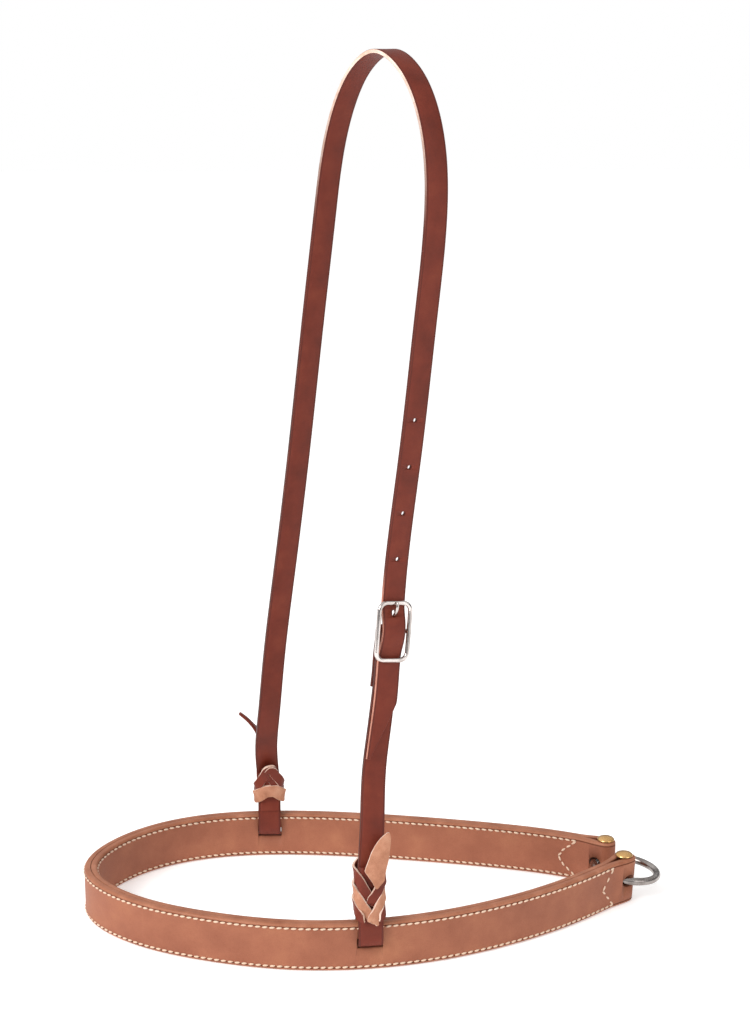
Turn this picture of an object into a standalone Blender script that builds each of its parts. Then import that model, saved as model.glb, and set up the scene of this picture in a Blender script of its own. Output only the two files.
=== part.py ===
"""Leather noseband with an adjustable latigo hanger and a chin ring.

Metres, +Z up. The noseband loop stands on its lower edge at z = 0, its long
axis runs along X with the chin ring at +X, and the hanger rises from it.
"""

import math

import bmesh
import bpy
import numpy as np
from mathutils import Matrix, Vector

MM = 0.001
GAP = 0.0003

# noseband
BAND_HEIGHT = 0.0254
PLY = 0.00335
PLY_OFFSET = 0.5 * (PLY + GAP)
EDGE = 0.0007
END_RETURN = 0.062

# end rivets and the ring between them
PIN_RADIUS = 0.0019
HEAD_RADIUS = 0.00475
HEAD_HEIGHT = 0.0018
BURR_RADIUS = 0.0040
RING_RADIUS = 0.0175
RING_WIRE = 0.0021
RING_SLOT = 0.0034
RING_DROOP = math.radians(8.0)
SLOT_DROOP = math.radians(2.0)

# hanger
STRAP_WIDTH = 0.0127
STRAP_THICK = 0.0022
FOLD_THICK = 0.0016
SLOT_WIDTH = 0.0138
SLOT_HEIGHT = 0.0052
SLOT_Z = 0.0149
STRAP_STAND_OFF = 0.0024
HOLE_RADIUS = 0.0014
HOLE_PITCH = 0.0242
FIRST_HOLE_Z = 0.205
HOLES = 4

# buckle
BUCKLE_WIDTH = 0.0200
BUCKLE_HEIGHT = 0.0318
BUCKLE_WIRE = 0.0012
BUCKLE_Z = 0.1683
BAR_BACK = 0.0047
TONGUE_WIRE = 0.0008

# stitching
THREAD = 0.0003
THREAD_INSET = 0.0021

# plan of the noseband centre line, near pin round the nose to far pin
SHIFT = Vector((-0.00394, 0.00278, 0.0))
NEAR_PIN = (0.1400, -0.0036)
FAR_PIN = (0.1337, 0.0175)
NEAR_SIDE = [(0.105, -0.0315), (0.070, -0.0520), (0.020, -0.0697), (-0.040, -0.0726), (-0.090, -0.0585),
             (-0.128, -0.0362)]
NOSE = (-0.1507, 0.0)
FAR_SIDE = [(-0.128, 0.0454), (-0.090, 0.0649), (-0.040, 0.0676), (0.020, 0.0573), (0.070, 0.0441),
            (0.105, 0.0318)]
NEAR_SLOT_X = -0.004
FAR_SLOT_X = -0.0536

# rise of the hanger straps, metres
NEAR_RISE = [(-0.0030, -0.0716, 0.040), (-0.0022, -0.0655, 0.070), (0.0021, -0.0562, 0.100),
             (0.0074, -0.0455, 0.136), (0.0103, -0.0402, 0.1683), (0.0126, -0.0360, 0.198),
             (0.0191, -0.0327, 0.259), (0.0270, -0.0300, 0.330), (0.0313, -0.0288, 0.378),
             (0.0302, -0.0253, 0.4116), (0.0250, -0.0198, 0.434), (0.0187, -0.0125, 0.4465)]
CROWN_TOP = (0.0080, -0.0005, 0.4542)
FAR_RISE = [(-0.0540, 0.0665, 0.040), (-0.0550, 0.0585, 0.068), (-0.0535, 0.0500, 0.090),
            (-0.0500, 0.0430, 0.128), (-0.0440, 0.0377, 0.177), (-0.0355, 0.0325, 0.245),
            (-0.0267, 0.0284, 0.323), (-0.0208, 0.0270, 0.373), (-0.0158, 0.0242, 0.409),
            (-0.0093, 0.0188, 0.433), (-0.0028, 0.0117, 0.4462)]

MATERIALS = {
    "harness_leather": ((0.46, 0.17, 0.085), 0.55, 0.0),
    "lining_leather": ((0.50, 0.20, 0.10), 0.6, 0.0),
    "latigo_leather": ((0.17, 0.035, 0.022), 0.5, 0.0),
    "latigo_flesh_side": ((0.62, 0.33, 0.19), 0.8, 0.0),
    "cream_thread": ((0.80, 0.68, 0.52), 0.7, 0.0),
    "lining_thread": ((0.78, 0.66, 0.50), 0.7, 0.0),
    "brass": ((0.72, 0.46, 0.13), 0.3, 1.0),
    "steel_ring": ((0.40, 0.37, 0.36), 0.35, 1.0),
    "nickel": ((0.78, 0.76, 0.72), 0.15, 1.0),
}


def clear_scene():
    for thing in list(bpy.data.objects):
        bpy.data.objects.remove(thing, do_unlink=True)


def leather_or_metal(name):
    colour, roughness, metallic = MATERIALS[name]
    material = bpy.data.materials.get(name)
    if material is None:
        material = bpy.data.materials.new(name)
        material.use_nodes = True
        shader = material.node_tree.nodes["Principled BSDF"]
        shader.inputs["Base Color"].default_value = (*colour, 1.0)
        shader.inputs["Roughness"].default_value = roughness
        shader.inputs["Metallic"].default_value = metallic
    return material


def spline(points, count):
    """Even samples of a natural cubic spline through the points."""
    points = np.array(points, float)
    steps = np.linalg.norm(np.diff(points, axis=0), axis=1)
    knots = np.concatenate([[0.0], np.cumsum(steps)])
    total = len(points)
    system = np.eye(total)
    right = np.zeros_like(points)
    for i in range(1, total - 1):
        system[i, i - 1] = steps[i - 1]
        system[i, i] = 2.0 * (steps[i - 1] + steps[i])
        system[i, i + 1] = steps[i]
        rise = (points[i + 1] - points[i]) / steps[i]
        fall = (points[i] - points[i - 1]) / steps[i - 1]
        right[i] = 6.0 * (rise - fall)
    bend = np.linalg.solve(system, right)
    out = []
    for where in np.linspace(0.0, knots[-1], count):
        i = int(min(max(np.searchsorted(knots, where) - 1, 0), total - 2))
        h = steps[i]
        a = (knots[i + 1] - where) / h
        b = (where - knots[i]) / h
        value = a * points[i] + b * points[i + 1]
        value = value + ((a ** 3 - a) * bend[i] + (b ** 3 - b) * bend[i + 1]) * h * h / 6.0
        out.append(Vector(value.tolist()))
    return out


def tangents(path, closed=False):
    last = len(path)
    out = []
    for i in range(last):
        before = path[(i - 1) % last] if closed else path[max(i - 1, 0)]
        after = path[(i + 1) % last] if closed else path[min(i + 1, last - 1)]
        out.append((after - before).normalized())
    return out


def smooth_step(value):
    value = min(max(value, 0.0), 1.0)
    return value * value * (3.0 - 2.0 * value)


def strip_section(half_a, half_b, edge):
    """Rectangle with clipped corners, counter-clockwise."""
    return [(half_a, -half_b + edge), (half_a, half_b - edge), (half_a - edge, half_b),
            (-half_a + edge, half_b), (-half_a, half_b - edge), (-half_a, -half_b + edge),
            (-half_a + edge, -half_b), (half_a - edge, -half_b)]


def round_section(radius, sides):
    angles = [2.0 * math.pi * k / sides for k in range(sides)]
    return [(radius * math.cos(a), radius * math.sin(a)) for a in angles]


def new_object(name, verts, faces, material, smooth_angle=40.0):
    mesh = bpy.data.meshes.new(name)
    mesh.from_pydata([tuple(v) for v in verts], [], faces)
    mesh.validate()
    shape = bmesh.new()
    shape.from_mesh(mesh)
    bmesh.ops.recalc_face_normals(shape, faces=shape.faces)
    shape.to_mesh(mesh)
    shape.free()
    mesh.shade_smooth()
    mesh.set_sharp_from_angle(angle=math.radians(smooth_angle))
    thing = bpy.data.objects.new(name, mesh)
    bpy.context.scene.collection.objects.link(thing)
    mesh.materials.append(leather_or_metal(material))
    return thing


def sweep(name, frames, sections, material, closed=False, smooth_angle=40.0):
    """Body swept along frames of (point, first axis, second axis)."""
    verts = []
    faces = []
    sides = len(sections[0])
    for (point, first, second), section in zip(frames, sections):
        for a, b in section:
            verts.append(point + first * a + second * b + SHIFT)
    rings = len(frames)
    for i in range(rings if closed else rings - 1):
        j = (i + 1) % rings
        for k in range(sides):
            n = (k + 1) % sides
            faces.append((i * sides + k, i * sides + n, j * sides + n, j * sides + k))
    if not closed:
        faces.append(tuple(range(sides)))
        faces.append(tuple((rings - 1) * sides + k for k in range(sides)))
    return new_object(name, verts, faces, material, smooth_angle)


def drilled(body, cutters):
    """Cut every cutter out of the body and leave a plain mesh."""
    for cutter in cutters:
        cut = body.modifiers.new("cut", "BOOLEAN")
        cut.operation = "DIFFERENCE"
        cut.solver = "EXACT"
        cut.object = cutter
    graph = bpy.context.evaluated_depsgraph_get()
    solid = bpy.data.meshes.new_from_object(body.evaluated_get(graph))
    old = body.data
    name = old.name
    body.modifiers.clear()
    body.data = solid
    bpy.data.meshes.remove(old)
    solid.name = name
    for cutter in cutters:
        bpy.data.objects.remove(cutter, do_unlink=True)
    return body


def box_cutter(centre, along, across, up, size):
    verts = []
    for i in (-0.5, 0.5):
        for j in (-0.5, 0.5):
            for k in (-0.5, 0.5):
                verts.append(centre + along * (i * size[0]) + across * (j * size[1]) + up * (k * size[2]) + SHIFT)
    faces = [(0, 1, 3, 2), (4, 6, 7, 5), (0, 4, 5, 1), (2, 3, 7, 6), (0, 2, 6, 4), (1, 5, 7, 3)]
    return new_object("cutter", verts, faces, "nickel")


def ring_frames(centre, normal, radius, count, start=Vector((1.0, 0.0, 0.0))):
    first = (start - normal * start.dot(normal)).normalized()
    second = normal.cross(first)
    frames = []
    for k in range(count):
        angle = 2.0 * math.pi * k / count
        out = first * math.cos(angle) + second * math.sin(angle)
        frames.append((centre + out * radius, out, normal))
    return frames


# ---------------------------------------------------------------- plan


def band_plan():
    stations = [NEAR_PIN] + NEAR_SIDE + [NOSE] + FAR_SIDE + [FAR_PIN]
    path = spline([(x, y, 0.5 * BAND_HEIGHT) for x, y in stations], 105)
    return path


def lengths(path):
    out = [0.0]
    for before, after in zip(path, path[1:]):
        out.append(out[-1] + (after - before).length)
    return out


def outward(direction):
    return Vector((-direction.y, direction.x, 0.0)).normalized()


def spread(run, total):
    """Distance of a ply's centre from the band centre, wider round the pins."""
    near_end = min(run, total - run)
    fold = PIN_RADIUS + GAP + 0.5 * PLY
    return PLY_OFFSET + (fold - PLY_OFFSET) * (1.0 - smooth_step(near_end / 0.016))


def offset_run(path, side, start, stop, extra=0.0):
    """Points and outward normals of the band path set off to one side."""
    runs = lengths(path)
    total = runs[-1]
    out = []
    for point, direction, run in zip(path, tangents(path), runs):
        if start - 1e-6 <= run <= stop + 1e-6:
            normal = outward(direction)
            out.append((point + normal * side * (spread(run, total) + extra), normal))
    return out


def band_point(path, x, far):
    """Band centre point and outward normal where the path crosses x."""
    best = None
    for point, direction in zip(path, tangents(path)):
        if (point.y > 0.0) == far and point.x < 0.1:
            miss = abs(point.x - x)
            if best is None or miss < best[0]:
                best = (miss, point, direction)
    miss, point, direction = best
    shift = (x - point.x) / direction.x
    return point + direction * shift, outward(direction)


def fold_points(path, at_start):
    """Half turn of ply round an end pin, from the inner to the outer side."""
    pin = path[0] if at_start else path[-1]
    direction = tangents(path)[0] if at_start else tangents(path)[-1]
    away = -direction if at_start else direction
    normal = outward(direction)
    radius = PIN_RADIUS + GAP + 0.5 * PLY
    out = []
    for k in range(1, 9):
        angle = math.pi * k / 9.0
        out.append(pin - normal * radius * math.cos(angle) + away * radius * math.sin(angle))
    return out if at_start else out[::-1]


def ring_pose(path, droop):
    near, far = path[0], path[-1]
    middle = 0.5 * (near + far)
    across = (far - near).normalized()
    away = Vector((across.y, -across.x, 0.0))
    reach = RING_RADIUS - RING_WIRE - PIN_RADIUS - 0.0004
    ahead = math.sqrt(reach ** 2 - (0.5 * (far - near).length) ** 2)
    drooped = away * math.cos(droop) - Vector((0.0, 0.0, 1.0)) * math.sin(droop)
    centre = middle + drooped * ahead
    normal = across.cross(drooped).normalized()
    if normal.z < 0.0:
        normal = -normal
    return centre, normal, middle, across


# ------------------------------------------------------------ noseband


def ring_slot_cutter(path):
    centre, normal, middle, across = ring_pose(path, SLOT_DROOP)
    frames = ring_frames(centre, normal, RING_RADIUS, 40)
    return sweep("cutter", frames, [round_section(RING_SLOT, 10)] * 40, "nickel", closed=True)


def strap_slot_cutter(path, x, far):
    point, normal = band_point(path, x, far)
    along = Vector((-normal.y, normal.x, 0.0))
    up = Vector((0.0, 0.0, 1.0))
    centre = Vector((point.x, point.y, SLOT_Z))
    return box_cutter(centre, along, normal, up, (SLOT_WIDTH, 0.02, SLOT_HEIGHT))


def vertical_frames(points):
    up = Vector((0.0, 0.0, 1.0))
    frames = []
    for point, direction in zip(points, tangents(points)):
        frames.append((point, outward(direction), up))
    return frames


def noseband_outer_ply(path):
    total = lengths(path)[-1]
    points = [p for p, n in offset_run(path, -1.0, 0.0, END_RETURN)][::-1]
    points += fold_points(path, True)
    points += [p for p, n in offset_run(path, 1.0, 0.0, total)]
    points += fold_points(path, False)
    points += [p for p, n in offset_run(path, -1.0, total - END_RETURN, total)][::-1]
    frames = vertical_frames(points)
    section = strip_section(0.5 * PLY, 0.5 * BAND_HEIGHT, EDGE)
    ply = sweep("noseband_outer_ply", frames, [section] * len(frames), "harness_leather")
    cutters = [strap_slot_cutter(path, NEAR_SLOT_X, False), strap_slot_cutter(path, FAR_SLOT_X, True),
               ring_slot_cutter(path)]
    return drilled(ply, cutters)


def noseband_lining(path):
    total = lengths(path)[-1]
    step = total / (len(path) - 1)
    run = offset_run(path, -1.0, END_RETURN + 0.2 * step, total - END_RETURN - 0.2 * step)
    frames = vertical_frames([p for p, n in run])
    section = strip_section(0.5 * PLY, 0.5 * BAND_HEIGHT, EDGE)
    ply = sweep("noseband_lining", frames, [section] * len(frames), "lining_leather")
    cutters = [strap_slot_cutter(path, NEAR_SLOT_X, False), strap_slot_cutter(path, FAR_SLOT_X, True)]
    return drilled(ply, cutters)


def turned(name, profile, centre, material, sides=24):
    """Body turned about a vertical axis from (radius, height) pairs."""
    verts = []
    faces = []
    for radius, height in profile:
        for k in range(sides):
            angle = 2.0 * math.pi * k / sides
            verts.append(centre + SHIFT + Vector((radius * math.cos(angle), radius * math.sin(angle), height)))
    rows = len(profile)
    for i in range(rows - 1):
        for k in range(sides):
            n = (k + 1) % sides
            faces.append((i * sides + k, i * sides + n, (i + 1) * sides + n, (i + 1) * sides + k))
    faces.append(tuple(range(sides)))
    faces.append(tuple((rows - 1) * sides + k for k in range(sides)))
    return new_object(name, verts, faces, material, 50.0)


def end_rivet(name, pin):
    """Domed head on the top edge, shank down through the fold."""
    base = Vector((pin.x, pin.y, 0.0))
    top = BAND_HEIGHT + GAP
    profile = [(PIN_RADIUS, 0.0004), (PIN_RADIUS, top), (HEAD_RADIUS - 0.0004, top),
               (HEAD_RADIUS, top + 0.0003)]
    for k in range(1, 6):
        angle = 0.5 * math.pi * k / 6.0
        profile.append((HEAD_RADIUS * math.cos(angle), top + 0.0003 + HEAD_HEIGHT * math.sin(angle)))
    return turned(name, profile, base, "brass")


def rivet_burr(name, pin):
    """Washer let into the lower edge round the shank."""
    base = Vector((pin.x, pin.y, 0.0))
    inner = PIN_RADIUS + GAP
    sides = 24
    verts = []
    faces = []
    for radius, height in ((inner, 0.0), (BURR_RADIUS, 0.0), (BURR_RADIUS, 0.0012), (inner, 0.0012)):
        for k in range(sides):
            angle = 2.0 * math.pi * k / sides
            verts.append(base + SHIFT + Vector((radius * math.cos(angle), radius * math.sin(angle), height)))
    for i in range(4):
        j = (i + 1) % 4
        for k in range(sides):
            n = (k + 1) % sides
            faces.append((i * sides + k, i * sides + n, j * sides + n, j * sides + k))
    return new_object(name, verts, faces, "brass")


def burr_seat_cutter(pin):
    base = Vector((pin.x, pin.y, 0.0))
    reach = BURR_RADIUS + GAP
    return turned("cutter", [(reach, -0.002), (reach, 0.0012 + GAP)], base, "nickel")


def tie_ring(path):
    centre, normal, middle, across = ring_pose(path, RING_DROOP)
    frames = ring_frames(centre, normal, RING_RADIUS, 48)
    return sweep("tie_ring", frames, [round_section(RING_WIRE, 10)] * 48, "steel_ring", closed=True)


def stitching(name, path, side, material):
    """Thread along both edges of one face, joined by a V at each end."""
    total = lengths(path)[-1]
    proud = 0.5 * PLY + GAP + THREAD
    high = BAND_HEIGHT - THREAD_INSET
    low = THREAD_INSET
    near_corner, near_apex = 0.013, 0.021
    far_corner, far_apex = total - 0.017, total - 0.027
    row = offset_run(path, side, near_corner, far_corner, proud)
    tip_near = offset_run(path, side, near_apex - 0.004, near_apex + 0.004, proud)
    tip_far = offset_run(path, side, far_apex - 0.004, far_apex + 0.004, proud)
    points = [Vector((p.x, p.y, high)) for p, n in row]
    points.append(Vector((*tip_far[len(tip_far) // 2][0].xy, 0.5 * BAND_HEIGHT)))
    points += [Vector((p.x, p.y, low)) for p, n in row[::-1]]
    points.append(Vector((*tip_near[len(tip_near) // 2][0].xy, 0.5 * BAND_HEIGHT)))
    frames = []
    for point, direction in zip(points, tangents(points, closed=True)):
        flat = Vector((-direction.y, direction.x, 0.0))
        if flat.length < 0.3:
            flat = frames[-1][1].copy()
        flat.normalize()
        if frames and flat.dot(frames[-1][1]) < 0.0:
            flat = -flat
        frames.append((point, flat, direction.cross(flat).normalized()))
    return sweep(name, frames, [round_section(THREAD, 3)] * len(frames), material, closed=True)


# -------------------------------------------------------------- hanger


def width_angle(z, far):
    """Plan angle of the strap's width at a height."""
    heights = [0.0, 0.040, 0.070, 0.100, 0.136, 0.200, 0.300, 0.500]
    near_angles = [3.0, 7.0, 15.0, 20.0, 23.0, 25.0, 28.0, 30.0]
    far_angles = [-4.5, 3.0, 14.0, 20.0, 23.0, 25.0, 28.0, 30.0]
    return math.radians(float(np.interp(z, heights, far_angles if far else near_angles)))


def strap_frames(points, far_flags):
    """Frames along a strap; inside the buckle the width follows the bars."""
    centre, bar_axis, along, out = buckle_frame_axes()
    frames = []
    for point, direction, far in zip(points, tangents(points), far_flags):
        angle = width_angle(point.z, far)
        width = Vector((math.cos(angle), math.sin(angle), 0.0))
        if (point - centre).length < 0.020:
            width = bar_axis.copy()
        width = (width - direction * width.dot(direction)).normalized()
        frames.append((point, width, direction.cross(width).normalized()))
    return frames


def slot_loop(path, x, far):
    """Centre line from inside the knot, down the inner face, through the slot, up the outer face."""
    point, normal = band_point(path, x, far)
    stand = PLY_OFFSET + 0.5 * PLY + STRAP_STAND_OFF
    up = Vector((0.0, 0.0, 1.0))
    mid = SLOT_Z
    base = Vector((point.x, point.y, 0.0))
    turn = stand - 0.0008
    rows = [(-0.0013, 0.0445), (-0.0021, 0.0390), (-0.0038, 0.0335), (-0.0054, 0.0290), (-stand, 0.0250),
            (-stand, 0.0208), (-stand + 0.0001, mid + 0.0028), (-turn, mid + 0.0005), (-turn + 0.0015, mid - 0.0005),
            (-0.0022, mid - 0.0006), (0.0022, mid - 0.0006), (turn - 0.0015, mid - 0.0005), (turn, mid + 0.0005),
            (stand - 0.0001, mid + 0.0028), (stand, 0.0208), (stand, 0.0250), (0.0054, 0.0290), (0.0038, 0.0335),
            (0.0022, 0.0385)]
    points = []
    for offset, height in rows:
        lean = 0.0012 if far else 0.0010
        drift = lean * max(0.0, (height - BAND_HEIGHT) / 0.015)
        points.append(base + normal * (offset - drift) + up * height)
    return points


def buckle_frame_axes():
    """Centre, width axis, long axis and outward axis of the buckle."""
    low, mid, high = (Vector(NEAR_RISE[k]) for k in (3, 4, 5))
    long_axis = (high - low).normalized()
    angle = width_angle(BUCKLE_Z, False)
    width = Vector((math.cos(angle), math.sin(angle), 0.0))
    width = (width - long_axis * width.dot(long_axis)).normalized()
    out = width.cross(long_axis).normalized()
    if out.y > 0.0:
        out = -out
    return mid, width, long_axis, out


def billet_points():
    """Crown strap below the top bar: behind both bars, in front of the centre bar."""
    centre, width, along, out = buckle_frame_axes()
    behind = -(BUCKLE_WIRE + 0.00045 + 0.5 * STRAP_THICK)
    rows = [(0.0225, behind), (0.0160, behind), (0.0115, behind + 0.0004), (0.0050, -0.0003), (-0.0050, -0.0003),
            (-0.0115, behind + 0.0004), (-0.0160, behind), (-0.0225, behind)]
    return [centre + along * a + out * b for a, b in rows]


def crown_strap(path):
    points = slot_loop(path, FAR_SLOT_X, True)
    turn = len(points)
    points += [Vector(p) for p in FAR_RISE[1:]] + [Vector(CROWN_TOP)]
    points += [Vector(p) for p in NEAR_RISE[:5:-1]]
    points += billet_points()
    centre, width, along, out = buckle_frame_axes()
    behind = -(BUCKLE_WIRE + 0.00045 + 0.5 * STRAP_THICK)
    for k in (2, 1):
        base = Vector(NEAR_RISE[k + 1]) if k == 2 else 0.5 * (Vector(NEAR_RISE[2]) + Vector(NEAR_RISE[3]))
        points.append(base + out * (behind + 0.0002))
    points.append(Vector(NEAR_RISE[2]) + Vector((0.0004, 0.0, 0.0045)) + out * (behind + 0.0003))
    path_points = spline(points, 150)
    flags = []
    passed_top = False
    for point in path_points:
        if point.z > 0.4535:
            passed_top = True
        flags.append(not passed_top and point.y > 0.0)
    frames = strap_frames(path_points, flags)
    keep = consistent(frames)
    sections = []
    tip = keep[-1][0]
    for point, first, second in keep:
        left = 0.5 * STRAP_WIDTH
        section = strip_section(left, 0.5 * STRAP_THICK, 0.0004)
        from_tip = (point - tip).length
        on_billet = point.z < 0.140 and point.y < 0.0
        if on_billet and from_tip < 0.030:
            cut = STRAP_WIDTH * 0.80 * (1.0 - from_tip / 0.030)
            section = [(min(a, left - cut), b) for a, b in section]
            limit = left - cut
            section = strip_part(-left, limit, 0.5 * STRAP_THICK, 0.0004)
        sections.append(section)
    strap = sweep("crown_strap", keep, sections, "latigo_leather")
    return drilled(strap, hole_cutters(keep))


def strip_part(low, high, half_b, edge):
    middle = 0.5 * (low + high)
    half = 0.5 * (high - low)
    return [(a + middle, b) for a, b in strip_section(half, half_b, edge)]


def consistent(frames):
    """Keep the width axis pointing the same way along a strap."""
    out = []
    for point, first, second in frames:
        if out and first.dot(out[-1][1]) < 0.0:
            first = -first
            second = -second
        out.append((point, first, second))
    return out


def frame_near_height(frames, z, near_side):
    best = None
    for point, first, second in frames:
        if (point.y < 0.0) == near_side:
            miss = abs(point.z - z)
            if best is None or miss < best[0]:
                best = (miss, point, first, second)
    return best[1:]


def round_cutter(centre, axis, radius, long_axis, stretch):
    """Short bar across a strap; stretched along the strap when a tongue slants through."""
    side = axis.cross(long_axis).normalized()
    verts = []
    count = 12
    for depth in (-0.004, 0.004):
        for k in range(count):
            angle = 2.0 * math.pi * k / count
            along = math.sin(angle) * radius
            along += stretch if math.sin(angle) > 0.0 else -stretch
            verts.append(centre + axis * depth + side * math.cos(angle) * radius + long_axis * along + SHIFT)
    faces = [tuple(range(count)), tuple(range(count, 2 * count))]
    for k in range(count):
        n = (k + 1) % count
        faces.append((k, n, count + n, count + k))
    return new_object("cutter", verts, faces, "nickel")


def hole_cutters(frames):
    cutters = []
    for k in range(HOLES):
        point, first, second = frame_near_height(frames, FIRST_HOLE_Z + k * HOLE_PITCH * 0.975, True)
        cutters.append(round_cutter(point, second, HOLE_RADIUS, first.cross(second), 0.0))
    centre, width, along, out = buckle_frame_axes()
    cutters.append(round_cutter(centre + along * 0.0081, out, 0.0013, along, 0.0026))
    return cutters


def near_cheek_strap(path):
    centre, width, along, out = buckle_frame_axes()
    points = slot_loop(path, NEAR_SLOT_X, False)
    behind = -(BUCKLE_WIRE + 0.00045 + STRAP_THICK + GAP + 0.5 * STRAP_THICK)
    points.append(Vector(NEAR_RISE[1]))
    points.append(Vector(NEAR_RISE[2]) + out * (behind - 0.0002))
    points.append(0.5 * (Vector(NEAR_RISE[2]) + Vector(NEAR_RISE[3])) + out * (behind - 0.0002))
    points.append(Vector(NEAR_RISE[3]) + out * (behind - 0.0002))
    points.append(centre - along * 0.0225 + out * (behind - 0.0001))
    points.append(centre - along * 0.0150 + out * (behind - 0.0001))
    fold = BUCKLE_WIRE + GAP + 0.5 * FOLD_THICK
    points.append(centre - along * 0.0080 + out * (-BAR_BACK + fold - 0.0014))
    points.append(centre - along * 0.0035 + out * (-BAR_BACK + fold - 0.0001))
    count_up = len(points)
    for k in range(0, 7):
        angle = math.pi * k / 6.0
        points.append(centre + out * (-BAR_BACK + fold * math.cos(angle)) + along * fold * math.sin(angle))
    gap_back = 0.5 * STRAP_THICK + GAP + 0.5 * FOLD_THICK
    points.append(centre - along * 0.0035 + out * (-BAR_BACK - fold))
    points.append(centre - along * 0.0080 + out * (-BAR_BACK - fold - 0.0004))
    points.append(centre - along * 0.0150 + out * (behind - gap_back - 0.0004))
    points.append(centre - along * 0.0225 + out * (behind - gap_back - 0.0004))
    points.append(Vector(NEAR_RISE[3]) + along * 0.003 + out * (behind - gap_back - 0.0006))
    path_points = spline(points, 130)
    fold_start = centre - along * 0.0150
    frames = consistent(strap_frames(path_points, [False] * len(path_points)))
    sections = []
    reached = False
    for point, first, second in frames:
        up_along = (point - fold_start).dot(along)
        if (point - centre).length < 0.006:
            reached = True
        thick = STRAP_THICK
        if up_along > -0.004 or reached:
            thick = FOLD_THICK + (STRAP_THICK - FOLD_THICK) * (0.0 if reached else 1.0 - smooth_step(
                (up_along + 0.004) / 0.008))
        sections.append(strip_section(0.5 * STRAP_WIDTH, 0.5 * thick, 0.0003))
    strap = sweep("near_cheek_strap", frames, sections, "latigo_leather")
    slot = box_cutter(centre - out * BAR_BACK + along * 0.0015, width, out, along, (0.0048, 0.012, 0.0130))
    return drilled(strap, [slot])


def knot_frames(path, x, far, low, high, count):
    """Frames up the middle of the two legs, then along the strap."""
    point, normal = band_point(path, x, far)
    lean = 0.0012 if far else 0.0010
    line = [Vector((point.x, point.y, z)) - normal * lean * (z - BAND_HEIGHT) / 0.015 for z in (0.0280, 0.0335, 0.0385)]
    line.append(Vector((FAR_RISE if far else NEAR_RISE)[1]))
    run = spline(line, 60)
    heights = [p.z for p in run]
    centres = []
    for k in range(count):
        z = low + (high - low) * k / (count - 1.0)
        centres.append(Vector((float(np.interp(z, heights, [p.x for p in run])),
                               float(np.interp(z, heights, [p.y for p in run])), z)))
    frames = []
    for centre, up in zip(centres, tangents(centres)):
        angle = width_angle(centre.z, far)
        width = Vector((math.cos(angle), math.sin(angle), 0.0))
        width = (width - up * width.dot(up)).normalized()
        frames.append((centre, width, up.cross(width).normalized()))
    return frames


def knot(name, path, x, far, low, high):
    """Braided sleeve of the strap's own end round both legs, flared where they part."""
    count = 17
    frames = knot_frames(path, x, far, low, high, count)
    verts = []
    faces = []
    sides = 12
    flare = ([0.029, 0.033, 0.037, 0.041], [0.0076, 0.0060, 0.0048, 0.0043])
    for layer in (0, 1):
        for k, (point, width, deep) in enumerate(frames):
            swell = 0.0006 * math.sin(2.0 * math.pi * 2.0 * k / (count - 1.0)) ** 2
            half_w = 0.5 * STRAP_WIDTH + 0.0004 + layer * (0.0010 + swell)
            half_d = float(np.interp(point.z, *flare)) + layer * (0.0017 + swell)
            corner = 0.0004 + layer * 0.0012
            outline = rounded_outline(half_w, half_d, corner)
            for a, b in outline:
                verts.append(point + width * a + deep * b + SHIFT)
    sides = len(outline)
    for layer in (0, 1):
        base = layer * count * sides
        for i in range(count - 1):
            for k in range(sides):
                n = (k + 1) % sides
                faces.append((base + i * sides + k, base + i * sides + n, base + (i + 1) * sides + n,
                              base + (i + 1) * sides + k))
    for i in (0, count - 1):
        for k in range(sides):
            n = (k + 1) % sides
            outer = count * sides + i * sides
            faces.append((i * sides + k, i * sides + n, outer + n, outer + k))
    return new_object(name, verts, faces, "latigo_leather")


def rounded_outline(half_a, half_b, corner):
    out = []
    for quarter, (sa, sb) in enumerate(((1, 1), (-1, 1), (-1, -1), (1, -1))):
        for k in range(3):
            angle = 0.5 * math.pi * (quarter + k / 2.0)
            out.append((sa * (half_a - corner) + corner * math.cos(angle),
                        sb * (half_b - corner) + corner * math.sin(angle)))
    return out


def near_tail(path):
    """Leaf of flesh side lying over the knot and the strap above it."""
    frames = knot_frames(path, NEAR_SLOT_X, False, 0.0450, 0.0705, 12)
    out = []
    sections = []
    for k, (point, width, deep) in enumerate(frames):
        share = k / 11.0
        facing = -1.0 if deep.y > 0.0 else 1.0
        half = 0.0012 + 0.0046 * math.sin(math.pi * min(1.0, 0.12 + 0.80 * share)) ** 0.8
        drift = 0.0010 + 0.0034 * share
        lift = 0.0081 - 0.0008 * share
        out.append((point + width * drift + deep * facing * lift, width, deep))
        sections.append(strip_section(half, 0.0009, 0.0003))
    return sweep("near_tail", out, sections, "latigo_flesh_side")


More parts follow.
